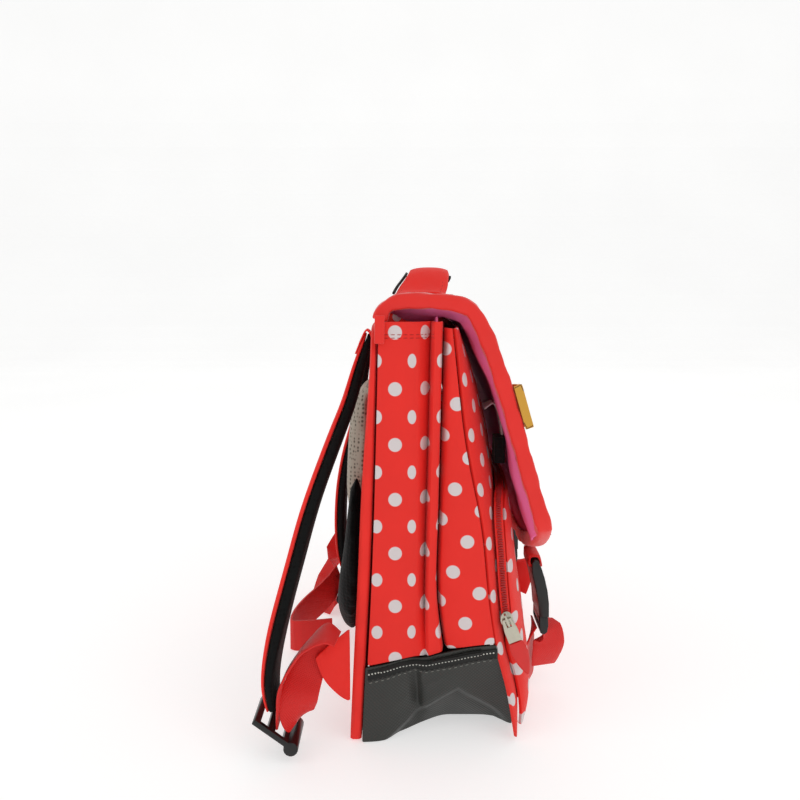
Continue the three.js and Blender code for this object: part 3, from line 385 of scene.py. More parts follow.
def noise(tree, place, size, detail=2.0):
    """Soft noise with patches of the given size in metres."""
    return add(tree, "ShaderNodeTexNoise", {"Vector": place, "Scale": 1 / size, "Detail": detail}).outputs[0]


def dot_mask(tree, place, cloth):
    """1 in a dot and 0 between: two lattices, the second in the middle of the first."""
    masks = []
    pitch = (cloth.dot_across, cloth.dot_up, 1.0)
    for share in (0.5, 1.0):
        moved = add(tree, "ShaderNodeVectorMath", {0: place, 1: (pitch[0] * share, pitch[1] * share, 0.5)},
                    operation="ADD").outputs[0]
        cell = add(tree, "ShaderNodeVectorMath", {0: moved, 1: pitch, 2: (0, 0, 0)},
                   operation="WRAP").outputs[0]
        off = add(tree, "ShaderNodeVectorMath", {0: cell, 1: (pitch[0] / 2, pitch[1] / 2, 0.5)},
                  operation="SUBTRACT").outputs[0]
        far = add(tree, "ShaderNodeVectorMath", {0: off}, operation="LENGTH").outputs["Value"]
        radius = cloth.dot_size / 2
        masks.append(add(tree, "ShaderNodeMapRange",
                         {0: far, 1: radius - DOT_BLUR, 2: radius + DOT_BLUR, 3: 1.0, 4: 0.0}).outputs[0])
    return add(tree, "ShaderNodeMath", {0: masks[0], 1: masks[1]}, operation="MAXIMUM").outputs[0]


def woven(name, colour, place, pitches, roughness=0.66, sheen=0.08, depth=0.00012, shade=0.12):
    """A woven cloth: thread bump, soft creases and a slow change of tone.

    Real threads are 0.3 to 0.5 mm apart. They are drawn coarser, at the pitches given, so that they show.
    """
    material, tree, shader = fresh(name)
    spot = place(tree)
    body = object_place(tree)
    tone = noise(tree, body, 0.03)
    dark = tuple(c * (1 - shade) for c in colour)
    base = mixed(tree, tone, dark, colour)
    valued(shader, Roughness=roughness, Sheen_Weight=sheen, Sheen_Roughness=0.4, Specular_IOR_Level=0.35)
    tree.links.new(base, shader.inputs["Base Color"])
    creases = noise(tree, body, 0.022, 3.0)
    bumped(tree, shader, [(creases, 0.0009, 0.35), (waves(tree, spot, pitches), depth, 0.5)])
    return material, tree, shader, base


def dotted_polyester(name, cloth):
    """600 denier polyester in plain weave, printed: matt red with thread grain, dots slightly grey."""
    pitches = (cloth.thread, cloth.thread, 0)
    material, tree, shader, base = woven(name, tuple(cloth.red), cloth_place, pitches)
    mask = dot_mask(tree, cloth_place(tree), cloth)
    tree.links.new(mixed(tree, mask, base, tuple(cloth.dot)), shader.inputs["Base Color"])
    return material


def coated_polyester(name, cloth):
    """Polyester with a vinyl coat, embossed with diamonds: dark grey, a soft gloss on the relief."""
    material, _, shader, _ = woven(name, tuple(cloth.boot), object_place, (0, 0.0024, 0.0024),
                                   roughness=0.48, sheen=0.0, depth=0.0002, shade=0.2)
    valued(shader, Specular_IOR_Level=0.5)
    return material


def spacer_mesh(name, colour, hole_shade, size):
    """Warp-knitted spacer mesh: open cells, drawn coarse at 3 mm to show, their openings darkened with
    painted shade.
    """
    material, tree, shader = fresh(name)
    body = object_place(tree)
    cells = add(tree, "ShaderNodeTexVoronoi",
                {"Vector": body, "Scale": 1 / size, "Randomness": 0.35}).outputs[0]
    hole_shade_mask = add(tree, "ShaderNodeMapRange", {0: cells, 1: 0.2, 2: 0.42, 3: 1.0, 4: 0.0}).outputs[0]
    # The open cells get the darker colour: painted shade inside the holes
    tree.links.new(mixed(tree, hole_shade_mask, colour, hole_shade), shader.inputs["Base Color"])
    valued(shader, Roughness=0.75, Sheen_Weight=0.04, Specular_IOR_Level=0.15)
    bumped(tree, shader, [(noise(tree, body, 0.02), 0.0008, 0.3), (cells, 0.0006, 0.6)])
    return material


def moulded_plastic(name, colour, roughness):
    """Injection-moulded acetal: satin, with a fine spark-eroded grain."""
    material, tree, shader = fresh(name)
    body = object_place(tree)
    tone = noise(tree, body, 0.012)
    tree.links.new(mixed(tree, tone, tuple(c * 0.8 for c in colour), colour), shader.inputs["Base Color"])
    rough = add(tree, "ShaderNodeMapRange", {0: tone, 3: roughness - 0.06, 4: roughness + 0.08}).outputs[0]
    tree.links.new(rough, shader.inputs["Roughness"])
    valued(shader, IOR=1.48)
    bumped(tree, shader, [(noise(tree, body, 0.0006), 0.00005, 0.4)])
    return material


def plated_zinc(name, colour):
    """Nickel-plated die-cast zinc: warm grey metal, tumbled, with faint scratches."""
    material, tree, shader = fresh(name)
    body = object_place(tree)
    tone = noise(tree, body, 0.003, 4.0)
    tree.links.new(mixed(tree, tone, tuple(c * 0.75 for c in colour), colour), shader.inputs["Base Color"])
    valued(shader, Metallic=1.0)
    rough = add(tree, "ShaderNodeMapRange", {0: tone, 3: 0.24, 4: 0.42}).outputs[0]
    tree.links.new(rough, shader.inputs["Roughness"])
    bumped(tree, shader, [(tone, 0.00006, 0.3)])
    return material


def satin_lining(name, cloth):
    """Nylon lining with a satin face over thin wadding: pink, soft highlights over shallow puckers."""
    material, _, shader, _ = woven(name, tuple(cloth.lining), object_place, even(0.0009),
                                   roughness=0.7, sheen=0.0, depth=0.00005, shade=0.25)
    valued(shader, Specular_IOR_Level=0.08)
    return material


FINISHES = {}
SEWN = {}


def even(pitch):
    """The same thread pitch along all axes, for cloth that turns every way."""
    return (pitch, pitch, pitch)


def plain(name, code, pitches, roughness=0.66, sheen=0.08, depth=0.00012):
    """A cloth of one colour, given as a hex code."""
    return woven(name, linear(code), object_place, pitches, roughness, sheen, depth)[0]


def finish(name):
    """One of the ransel's finishes, made once."""
    cloth = bpy.context.scene.ransel_cloth
    thread = cloth.thread
    ribs = (0.0016, 0.0018, 0)
    makers = {
        "dots": lambda: dotted_polyester("Dotted polyester", cloth),
        # The same cloth without print: matt red with a thread grain
        "red": lambda: woven("Red polyester", tuple(cloth.red), object_place, (thread, 0, thread))[0],
        # Polypropylene webbing in a ribbed weave, a little darker and glossier than the cloth
        "webbing": lambda: woven("Polypropylene webbing", linear("#E0231F"), cloth_place, ribs, 0.5, 0.08,
                                 0.00025)[0],
        # Bias tape of the same red, smooth and a little brighter on its round
        "tape": lambda: plain("Bias tape", "#EE2A22", even(thread), 0.5, 0.3, 0.00006),
        "boot": lambda: coated_polyester("Coated polyester", cloth),
        # Grosgrain ribbon: nearly black and matt, with fine cross ribs
        "trim": lambda: plain("Black grosgrain", "#171816", (0, 0.0009, 0.0009), 0.7),
        # Thread with glass beads: pale spots that catch the light
        "glint": lambda: plain("Reflective thread", "#CFCFC6", even(0.0009), 0.35),
        # Spacer meshes: the second colour is painted shade in their open cells
        "mesh": lambda: spacer_mesh("Black spacer mesh", linear("#090B0B"), linear("#020202"), 0.0028),
        "greige": lambda: spacer_mesh("Greige spacer mesh", linear("#A79C8E"), linear("#5E564C"), 0.0032),
        "lining": lambda: satin_lining("Satin lining", cloth),
        # Damask label, woven flat: mustard with a faint grain, and its border in brown
        "label": lambda: woven("Woven label", tuple(cloth.label), object_place, even(0.0008), 0.55)[0],
        "border": lambda: plain("Label border", "#7A4A1E", even(0.0008), 0.6),
        # Satin ribbon: silver grey with a soft streak of light
        "ribbon": lambda: plain("Silver ribbon", "#A89A9A", even(0.0009), 0.35),
        "plastic": lambda: moulded_plastic("Black acetal", linear("#0C0D0E"), 0.3),
        "metal": lambda: plated_zinc("Plated zinc", linear("#C9C5B4")),
        # Vinyl and nylon are moulded too: clear red with a satin light, and the coil darker
        "tab": lambda: moulded_plastic("Red vinyl", linear("#DE2420"), 0.38),
        "teeth": lambda: moulded_plastic("Red nylon coil", linear("#B01A1A"), 0.4),
        # Polyester sewing threads: twisted, with a slight light on their backs
        "redthread": lambda: plain("Red thread", "#B3130F", even(0.0006), 0.5),
        "darkthread": lambda: plain("Black thread", "#23221F", even(0.0006), 0.5),
        "greythread": lambda: plain("Grey thread", "#8E8E86", even(0.0006), 0.5),
    }
    if name not in FINISHES:
        FINISHES[name] = makers[name]()
    return FINISHES[name]


# Stitches and repeated small shapes

def thread_pad():
    """One stitch: a round primitive drawn out into a thread that dips into the cloth at both ends."""
    bpy.ops.mesh.primitive_uv_sphere_add(segments=6, ring_count=4, radius=0.5)
    pad = bpy.context.object
    bpy.ops.object.mode_set(mode="EDIT")
    bpy.ops.transform.resize(value=(1.0, 1.0, 0.8))
    bpy.ops.object.mode_set(mode="OBJECT")
    return taken(pad)


def tooth_pad():
    """One zip tooth: a block with its edges broken."""
    bpy.ops.mesh.primitive_cube_add(size=1.0)
    pad = bpy.context.object
    bpy.ops.object.mode_set(mode="EDIT")
    bpy.ops.mesh.bevel(offset=0.22, segments=1, affect="EDGES")
    bpy.ops.object.mode_set(mode="OBJECT")
    return taken(pad)


def taken(pad):
    """The points and faces of a small shape, whose object is then removed."""
    points = np.array([tuple(v.co) for v in pad.data.vertices])
    faces = [tuple(p.vertices) for p in pad.data.polygons]
    bpy.data.objects.remove(pad)
    return points, faces


def repeated(name, shape, spots):
    """Copies of a small shape as one piece: each spot gives its place, along, normal and size."""
    points, faces = shape
    all_points = []
    all_faces = []
    for place, along, normal, size in spots:
        along = along.normalized()
        side = normal.cross(along).normalized()
        turn = Matrix((along, side, side.cross(along) * -1)).transposed()
        if turn.determinant() < 0:
            turn = Matrix((along, side, along.cross(side))).transposed()
        start = len(all_points)
        for point in points:
            all_points.append(place + turn @ Vector([p * share for p, share in zip(point, size)]))
        all_faces.extend(tuple(start + i for i in face) for face in faces)
    return from_mesh(name, all_points, all_faces)


def spaced(points, pitch):
    """Places, directions and normals at equal distances along a line of (place, normal)."""
    marks = []
    carry = pitch / 2
    for (a, na), (b, nb) in zip(points, points[1:]):
        length = (b - a).length
        if length > 5 * pitch + 0.004:
            carry = pitch / 2
            continue
        while carry < length:
            share = carry / length
            marks.append((a.lerp(b, share), (b - a), na.lerp(nb, share).normalized()))
            carry += pitch
        carry -= length
    return marks


def cast_line(tree, starts, direction, reach=0.08):
    """Where rays from the starts meet a surface, as (place, normal)."""
    found = []
    for start in starts:
        place, normal, _, _ = tree.ray_cast(Vector(start), Vector(direction).normalized(), reach)
        if place is not None:
            found.append((place, normal if normal.dot(Vector(direction)) < 0 else -normal))
    return found


def seam(name, lines, colour="redthread", slot="plain_red", shape=None, size=None, pitch=None, lift=0.00004):
    """A row of stitches along each line of (place, normal)."""
    sewing = bpy.context.scene.ransel_sewing
    size = size or (sewing.stitch, sewing.radius * 2, sewing.radius)
    spots = [(place + normal * lift, along, normal, size)
             for line in lines for place, along, normal in spaced(line, pitch or sewing.pitch)]
    if not spots:
        raise RuntimeError(name + " found nothing to be sewn to")
    return finished(repeated(name, shape or thread_pad(), spots), finish(colour))


def across_at(tree, z, ys, side, reach=0.1):
    """The hits on a side wall at one height, for each y."""
    starts = [(side * 0.22, y, z) for y in ys]
    return cast_line(tree, starts, (-side, 0, 0), reach)


# Webbing

NEAR_RUN = (
    ((-160.0, 90.0, 19.2), (-1.0, 0.25, 0.0), 24), ((-160.5, 89.0, 27.0), (-0.5, 0.86, 0.1), 24),
    ((-158.8, 87.5, 36.0), (-0.15, 0.98, 0.05), 24), ((-151.0, 84.0, 46.0), (-0.1, 0.96, 0.25), 22),
    ((-147.6, 79.5, 55.0), (-0.05, 0.88, 0.46), 19), ((-146.9, 74.0, 62.0), (0.0, 0.75, 0.66), 17),
    ((-146.6, 68.0, 66.0), (0.0, 0.6, 0.8), 15),
)
NEAR_TAIL = (
    ((-159.0, 100.2, 20.9), (-1, 0, 0), 25), ((-159.5, 99.8, 32.0), (-1, 0, 0), 25),
    ((-160.0, 98.0, 45.0), (-1, 0.05, 0), 25), ((-160.0, 92.0, 57.0), (-1, 0.1, 0), 25),
    ((-161.0, 82.5, 70.0), (-1, 0.16, 0), 25), ((-163.0, 71.0, 79.0), (-1, 0.05, -0.16), 25),
    ((-164.0, 62.5, 76.0), (-1, 0, 0), 25),
)


def closure_rows(x):
    """Route of a closure's webbing from under the boot up to its plug, and of its free tail."""
    sign = math.copysign(1, x)
    turned = (0.93, 0.36 * sign, 0)
    run = [((x, y, z), wide, 25) for y, z, wide in (
        (-56.8, 2.6, (1, 0, 0)), (-61, 3.6, (1, 0.1 * sign, 0)), (-68.5, 10, turned), (-69.5, 22, turned),
        (-69.5, 40, turned), (-72.0, 54, (1, 0, 0)))]
    tail = [((x, y, z), wide, 25) for y, z, wide in (
        (-77.9, 50.4, (-sign, -0.2, 0)), (-82.0, 46.5, (-0.45 * sign, -0.9, -0.15)),
        (-83.0, 38, (-0.3 * sign, -0.95, -0.2)), (-81.5, 30, (-0.45 * sign, -0.88, -0.12)),
        (-79.5, 22, (-0.62 * sign, -0.78, 0)))]
    return run, tail


def along_rows(rows, t):
    """Place, direction, cross direction and width of a webbing at t from 0 to 1."""
    last = len(rows) - 1
    k = min(int(t * last), last - 1)
    f = t * last - k
    a, b, c, d = (Vector(rows[min(max(k + i, 0), last)][0]) for i in (-1, 0, 1, 2))
    square, cube = 2 * a - 5 * b + 4 * c - d, 3 * b - a - 3 * c + d
    place = 0.5 * (2 * b + (c - a) * f + square * f * f + cube * f ** 3)
    along = (0.5 * ((c - a) + 2 * square * f + 3 * cube * f * f)).normalized()
    wide = Vector(rows[k][1]).normalized().lerp(Vector(rows[k + 1][1]).normalized(), f)
    wide = (wide - along * wide.dot(along)).normalized()
    return place, along, wide, rows[k][2] * (1 - f) + rows[k + 1][2] * f


def webbing(name, rows, nodes, thickness=1.5, count=40, colour="webbing"):
    """A strip of webbing along its rows, with a slight crown, its edges rounded and a map along it."""
    shares = (-0.5, -0.46, -0.3, 0.0, 0.3, 0.46, 0.5)
    points = []
    maps = []
    run = 0.0
    before = None
    for i in range(count + 1):
        place, along, wide, width = along_rows(rows, i / count)
        up = along.cross(wide).normalized()
        run += (place - before).length if before else 0.0
        before = place
        for face in (1, -1):
            for share in shares:
                thick = thickness * (0.22 if abs(share) == 0.5 else 0.5)
                points.append((place + wide * share * width + up * face * thick) * MM)
                maps.append((share * width * MM, run * MM))
    ring = len(shares) * 2
    order = list(range(len(shares))) + list(range(ring - 1, len(shares) - 1, -1))
    faces = [tuple(order)[::-1], tuple(count * ring + j for j in order)]
    for i in range(count):
        for j in range(ring):
            a, b = order[j], order[(j + 1) % ring]
            faces.append((i * ring + a, i * ring + b, (i + 1) * ring + b, (i + 1) * ring + a))
    piece = from_mesh(name, points, faces)
    turned_out(piece)
    layer = piece.data.uv_layers.new(name="Cloth")
    for loop in piece.data.loops:
        layer.data[loop.index].uv = maps[loop.vertex_index]
    SEWN[name] = finished(piece, finish(colour), "bag", nodes, 40.0)
    return piece


# Pieces

def sew(node, colour, place=None, levels=None, body="bag", strength=0.85, move=None):
    """A soft piece in the place of a cut node: facets rounded, cut edges kept. It is kept for the seams."""
    piece = merged_copy(node, node + ".sewn")
    creased(piece, strength)
    rounded(piece, levels or bpy.context.scene.ransel_sewing.levels)
    apply_all(piece)
    if move:
        shifted(piece, move)
    if place:
        cloth_map(piece, place)
    SEWN[node] = finished(piece, finish(colour), body, [node])
    return piece


def mould(node, colour, width=0.0006, segments=2, body="bag"):
    """A hard piece in the place of a cut node, with the small radii of a moulding."""
    piece = merged_copy(node, node + ".moulded")
    modified(piece, "Radii", "BEVEL", width=width, segments=segments, limit_method="ANGLE",
             angle_limit=MOULD_EDGE)
    apply_all(piece)
    return finished(piece, finish(colour), body, [node])


def inflate(node, colour, swell=0.004):
    """A padded piece: the node's form as a fine skin, blown up as cloth, with a cap on its swelling."""
    piece = merged_copy(node, node + ".padded")
    modified(piece, "Skin", "REMESH", mode="VOXEL", voxel_size=SKIN)
    apply_all(piece)
    before = [v.co.copy() for v in piece.data.vertices]
    cloth = piece.modifiers.new("Cloth", "CLOTH")
    cloth.settings.use_pressure = True
    cloth.settings.uniform_pressure_force = PRESSURE
    cloth.settings.effector_weights.gravity = 0.0
    cloth.point_cache.frame_end = STEPS
    for step in range(1, STEPS + 1):
        bpy.context.scene.frame_set(step)
    apply_all(piece)
    bpy.context.scene.frame_set(1)
    for vertex, start in zip(piece.data.vertices, before):
        move = vertex.co - start
        if move.length > swell:
            vertex.co = start + move.normalized() * swell
    modified(piece, "Softening", "SMOOTH", factor=0.6, iterations=10)
    rounded(piece, 1)
    apply_all(piece)
    SEWN[node] = finished(piece, finish(colour), "bag", [node])


class RANSEL_OT_sides(bpy.types.Operator):
    """Dotted side walls with the pleat, and the divider between the compartments"""

    bl_idname = "ransel.sides"
    bl_label = "Side walls"

    def execute(self, context):
        for side, _ in SIDES:
            rear = sew("rear_gusset_" + side, "dots", wall_place, 3)
            wedge = sew("front_gusset_" + side, "dots", wedge_place, 3)
        sew("divider_panel", "lining")
        return {"FINISHED"}


class RANSEL_OT_front(bpy.types.Operator):
    """Front panel, pocket, piping and zip"""

    bl_idname = "ransel.front"
    bl_label = "Front and pocket"

    def execute(self, context):
        sew("front_panel", "dots", front_place)
        sew("front_pocket", "dots", front_place)
        sew("front_piping", "tape")
        sew("pocket_zip_tape", "red")
        return {"FINISHED"}


def ramp(value, start, length):
    """0 up to the start and 1 from a length on, straight between."""
    return min(max((value - start) / length, 0), 1)


def folded(co, _):
    """The boot's side: a pressed V over the tucked corner and a groove under the pleat."""
    x, y, z = (c / MM for c in co)
    if abs(x) < 90:
        return (0, 0, 0)
    peak = 31.5
    left, right = peak - (y + 13.9) * 0.72, peak + (y + 13.9) * 0.91
    inside = ramp(min(left, right) - z, -4.0, 8.0)
    inside = inside * inside * (3 - 2 * inside)
    groove = bell(y, 14.5 - (48 - z) * 0.05, 3.6) * ramp(54 - z, 0, 8) * ramp(z, 0, 12)
    ripple = 0.5 * math.sin(z / 4.3 + y / 7.0) * bell(y, 10, 14)
    away_from_ends = ramp(y, -47, 9) * ramp(46 - y, 0, 8)
    press = (5.5 * inside + 2.0 * groove + ripple * min(z / 20, 1)) * away_from_ends
    forward = 1.8 * ramp(-20 - y, 0, 15) - 0.8 * ramp(y, 38, 8)
    return (-math.copysign(press * MM, x), -forward * MM, 0)


class RANSEL_OT_boot(bpy.types.Operator):
    """Coated boot with its trim"""

    bl_idname = "ransel.boot"
    bl_label = "Boot"

    def execute(self, context):
        sew("bottom_boot", "boot", levels=4, move=folded)
        for side, _ in SIDES:
            sew("boot_trim_" + side, "trim")
        return {"FINISHED"}


def label_border():
    """A woven line just inside the label's edge, on both faces."""
    down = Vector((-0.46, -0.888))
    out = Vector((-0.888, 0.46))
    spots = [Vector((v.co.y, v.co.z)) / MM for v in SEWN["side_label"].data.vertices]
    top, bottom = (pick(spot.dot(down) for spot in spots) for pick in (min, max))
    near, far = (pick(spot.dot(out) for spot in spots) for pick in (min, max))
    top, bottom, near, far = top + 1, bottom - 1, near + 0.9, far - 0.9
    corners = tuple(down * a + out * b for a, b in ((top, near), (top, far), (bottom, far), (bottom, near)))
    tree = surface_of(SEWN["side_label"])
    lines = []
    for sign in (-1, 1):
        starts = [(sign * 0.2, *(start.lerp(end, t / 12) * MM))
                  for start, end in zip(corners, corners[1:] + corners[:1]) for t in range(12)]
        lines.append(cast_line(tree, starts, (-sign, 0, 0), 0.4))
    seam("label_border", lines, "border", "label", size=(0.0016, 0.0007, 0.0003), pitch=0.0012)


def profile_out(y, z):
    """Outward direction of the flap at the nearest point of its profile."""
    best = (math.inf, None)
    for (ya, za), (yb, zb) in zip(FLAP_PROFILE, FLAP_PROFILE[1:]):
        far = math.hypot((ya + yb) / 2 - y, (za + zb) / 2 - z)
        best = min(best, (far, (zb - za, ya - yb)), key=lambda found: found[0])
    return Vector((0, best[1][0], best[1][1])).normalized()


def bell(value, middle, width):
    """A smooth hump of 1 at the middle."""
    return math.exp(-((value - middle) / width) ** 2)


def puffed(co, _):
    """Wadding makes the lining stand off the flap beside its binding, in shallow puckers."""
    x, y, z = (c / MM for c in co)
    run = along_profile(y, z)
    rise = ramp(146 - abs(x), 0, 14)
    top = bell(run, 42, 26)
    front = ramp(run, 45, 25) * ramp(245 - run, 0, 50) * (1 - 0.5 * bell(run, 128, 32))
    puckers = 0.8 + 0.2 * math.sin(run / 9.0 + 0.05 * x) * math.cos(run / 23.0)
    depth = rise * (6.5 * top + front * 8.5 * (0.45 + 0.55 * bell(abs(x), 124, 22)) * puckers)
    return profile_out(y, z) * -depth * MM


def puckered(co, normal):
    """Small gathers where the tape is drawn round the flap's edge."""
    run = along_profile(co.y / MM, co.z / MM) + abs(co.x) / MM * 0.7
    return normal * (0.32 * math.sin(run / 4.7) + 0.22 * math.sin(run / 2.1 + 1.3)) * MM


class RANSEL_OT_flap(bpy.types.Operator):
    """Padded flap with its lining, binding and label"""

    bl_idname = "ransel.flap"
    bl_label = "Flap"

    def execute(self, context):
        sew("flap_outer", "dots", flap_place, 3)
        sew("flap_lining", "lining", levels=3, move=puffed)
        sew("flap_binding", "tape", levels=3, strength=0.35, move=puckered)
        for side, _ in SIDES:
            sew("binding_end_" + side, "tape")
        sew("side_label", "label")
        label_border()
        return {"FINISHED"}


class RANSEL_OT_back(bpy.types.Operator):
    """Back panel and its mesh pads"""

    bl_idname = "ransel.back"
    bl_label = "Back"

    def execute(self, context):
        sew("back_panel", "red", strength=0.5)
        inflate("upper_back_pad", "greige")
        inflate("lower_back_pad", "mesh")
        return {"FINISHED"}


class RANSEL_OT_handle(bpy.types.Operator):
    """Carry handle with its pad and piping"""

    bl_idname = "ransel.handle"
    bl_label = "Handle"

    def execute(self, context):
        sew("handle_grip", "red")
        sew("handle_underpad", "mesh")
        sew("handle_piping", "trim")
        return {"FINISHED"}


class RANSEL_OT_straps(bpy.types.Operator):
    """Shoulder straps with their webbing, wings and ladder locks"""

    bl_idname = "ransel.straps"
    bl_label = "Shoulder straps"

    def execute(self, context):
        for side, _ in SIDES:
            sew("strap_cover_" + side, "red")
            pad = sew("strap_mesh_" + side, "mesh", strength=0.75, move=fuller)
            sew("strap_wing_" + side, "red")
            if side == "right":
                sew("strap_webbing_right", "webbing", strip_place, strength=1.0)
                sew("strap_tail_right", "webbing", strip_place, strength=1.0)
            mould("ladder_lock_" + side, "plastic")
            strap_yoke(side)
        webbing("near_strap_webbing", NEAR_RUN, ["strap_webbing_left"])
        webbing("near_strap_tail", NEAR_TAIL, ["strap_tail_left"])
        return {"FINISHED"}


class RANSEL_OT_closures(bpy.types.Operator):
    """Side-release buckles with their loops and webbing"""

    bl_idname = "ransel.closures"
    bl_label = "Buckles"

    def execute(self, context):
        for side, sign in SIDES:
            sew("buckle_loop_" + side, "webbing", strip_place)
            for part in ("socket", "plug"):
                mould("buckle_" + part + "_" + side, "plastic", 0.0009, 3)
            run, tail = closure_rows(sign * 80.0)
            webbing("closure_run_" + side, run, ["closure_webbing_" + side])
            webbing("closure_flag_" + side, tail, ["closure_tail_" + side], count=16)
        return {"FINISHED"}


class RANSEL_OT_zip(bpy.types.Operator):
    """Zip slider, its puller and the pull tab"""

    bl_idname = "ransel.zip"
    bl_label = "Zip slider"

    def execute(self, context):
        mould("zip_slider", "metal", 0.0004)
        mould("zip_puller", "metal", 0.0003, body="zip_pull")
        sew("zip_pull_tab", "tab", body="zip_pull")
        return {"FINISHED"}


class RANSEL_OT_ribbon(bpy.types.Operator):
    """Ribbon loop and keeper under the flap"""

    bl_idname = "ransel.ribbon"
    bl_label = "Ribbon"

    def execute(self, context):
        sew("ribbon_loop", "ribbon")
        sew("ribbon_keeper", "mesh")
        return {"FINISHED"}


def fuller(_, normal):
    """Fills the pad out against its cover."""
    return normal * 0.0004


def strap_yoke(side):
    """Cloth that closes a strap's upper end and runs on to the back panel."""
    cover = SEWN["strap_cover_" + side]
    tops = [v.co for v in cover.data.vertices]
    peak = max(co.z for co in tops)
    end = [co for co in tops if co.z > peak - 0.006]
    left, right = min(co.x for co in end), max(co.x for co in end)
    middle = (left + right) / 2
    tree = surface_of(cover)
    panel = surface_of(SEWN["back_panel"])
    outer, inner = ([cast_line(over, [(middle, 0.16, peak - drop)], (0, -1, 0), 0.16) for drop in drops]
                    for over, drops in ((tree, (0.014, 0.009, 0.004)), (panel, (0.003, 0.014))))
    places = [hits[0][0] + Vector((0, 0.0008, 0)) for hits in outer + inner if hits]
    if len(places) < 5:
        raise RuntimeError("the strap's upper end isn't found")
    crown = (places[2] + places[3]) / 2
    crown.z = peak + 0.0018
    places.insert(3, crown)
    rows = [(tuple(place / MM), (1, 0, 0), (right - left) / MM + 1.6) for place in places]
    webbing("strap_yoke_" + side, rows, [], 1.2, 30, "red")


def flap_rows(x):
    """Starts above the flap's profile at one x, with the way down to it."""
    rows = []
    points = [Vector((x, y * MM, z * MM)) for y, z in FLAP_PROFILE]
    for a, b in zip(points[1:], points[2:]):
        out = Vector((0, b.z - a.z, b.y - a.y)).normalized()
        out = out if out.z - out.y > 0 else -out
        rows.extend((a.lerp(b, share / 8), out) for share in range(8))
    return rows


class RANSEL_OT_stitching(bpy.types.Operator):
    """Seams of the walls, boot, flap, straps and handle, the boot's beads and the zip's coil"""

    bl_idname = "ransel.stitching"
    bl_label = "Stitching"

    def execute(self, context):
        side_seams()
        boot_rows()
        flap_edges()
        strap_edges()
        handle_edges()
        panel_edges()
        zip_coil()
        return {"FINISHED"}


HEM_HEIGHTS = (0.2632, 0.2612)
FLAP_HALF = 0.148
BINDING_SEAM = 0.0072


def side_seams():
    """Two rows along the hem of each rear side wall."""
    for side, sign in SIDES:
        rear = surface_of(SEWN["rear_gusset_" + side])
        hems = [across_at(rear, z, np.arange(0.034, 0.002, -0.001), sign) for z in HEM_HEIGHTS]
        seam("hem_stitches_" + side, hems, size=(0.003, 0.0005, 0.0005))


BOOT_EDGE = ((49.0, 49.5), (42.0, 51.0), (33.0, 53.0), (23.5, 56.0), (14.0, 57.2), (7.0, 56.5), (-2.0, 58.5),
             (-10.0, 60.0), (-20.0, 62.0), (-29.0, 63.6), (-38.0, 65.0), (-46.0, 66.0))


def boot_line(below, step=0.5):
    """Points along the boot's side at a distance under its top edge, from back to front."""
    ys, tops = zip(*reversed(BOOT_EDGE))
    return [(y * MM, (float(np.interp(y, ys, tops)) - below) * MM) for y in np.arange(44.5, -38.0, -step)]


def boot_rows():
    """Beads along the boot's trim and two thread seams under it."""
    for side, sign in SIDES:
        edge = (SEWN["boot_trim_" + side], SEWN["bottom_boot"])
        bare = surface_of(*edge)
        tape = boot_band(side, sign, bare)
        both = surface_of(*edge, tape)
        rows = [cast_line(both, [(sign * 0.2, y, z) for y, z in boot_line(below)], (-sign, 0, 0), 0.12)
                for below in (3.8, 8.6, 10.0)]
        beads, seams, tops = ([row] for row in rows)
        seam("boot_beads_" + side, beads, "glint", "pale_trim", size=(0.0012, 0.0012, 0.0006),
             pitch=0.0021)
        seam("boot_seam_stitches_" + side, seams, "darkthread", "grey_coated",
             size=(0.003, 0.0008, 0.0008), pitch=0.0032)
        seam("boot_top_stitches_" + side, tops, "greythread", "pale_trim",
             size=(0.0022, 0.00045, 0.00045))


def boot_band(side, sign, tree):
    """Dark tape over the boot's top edge, under the beads."""
    rows = [[cast_line(tree, [(sign * 0.2, y, z)], (-sign, 0, 0), 0.12) for y, z in boot_line(below, 1.0)]
            for below in (1.2, 2.6, 5.4, 7.6)]
    columns = [column for column in zip(*rows) if all(column)]
    points = [hits[0][0] + hits[0][1] * 0.0004 for column in columns for hits in column]
    faces = [(4 * i + j, 4 * i + j + 1, 4 * i + j + 5, 4 * i + j + 4) for i in range(len(columns) - 1)
             for j in range(3)]
    tape = from_mesh("boot_tape_" + side, points, faces)
    turned_out(tape)
    modified(tape, "Thickness", "SOLIDIFY", thickness=0.0006, offset=0.0)
    apply_all(tape)
    return finished(tape, finish("trim"))


def flap_edges():
    """Stitches along the binding of the flap."""
    tree = surface_of(SEWN["flap_binding"])
    lines = []
    for _, sign in SIDES:
        line = []
        for start, out in flap_rows(sign * (FLAP_HALF - BINDING_SEAM)):
            line.extend(cast_line(tree, [start + out * 0.02], -out, 0.03))
        lines.append(line)
    seam("binding_stitches", lines)


# Stitches drawn down into padding, so that they hardly stand out
SUNK = {"size": (0.0026, 0.0004, 0.0002), "lift": -0.00005}


def edge_lines(tree, stations, across, look, inset):
    """Two lines just inside the edges of a band: at each station rays along look are tried across it."""
    first = []
    last = []
    for station in stations:
        hits = [shift for shift in across if cast_line(tree, [station(shift)], look, 0.3)]
        if len(hits) > 2:
            first.extend(cast_line(tree, [station(hits[0] + inset)], look, 0.3))
            last.extend(cast_line(tree, [station(hits[-1] - inset)], look, 0.3))
    return [first, last]


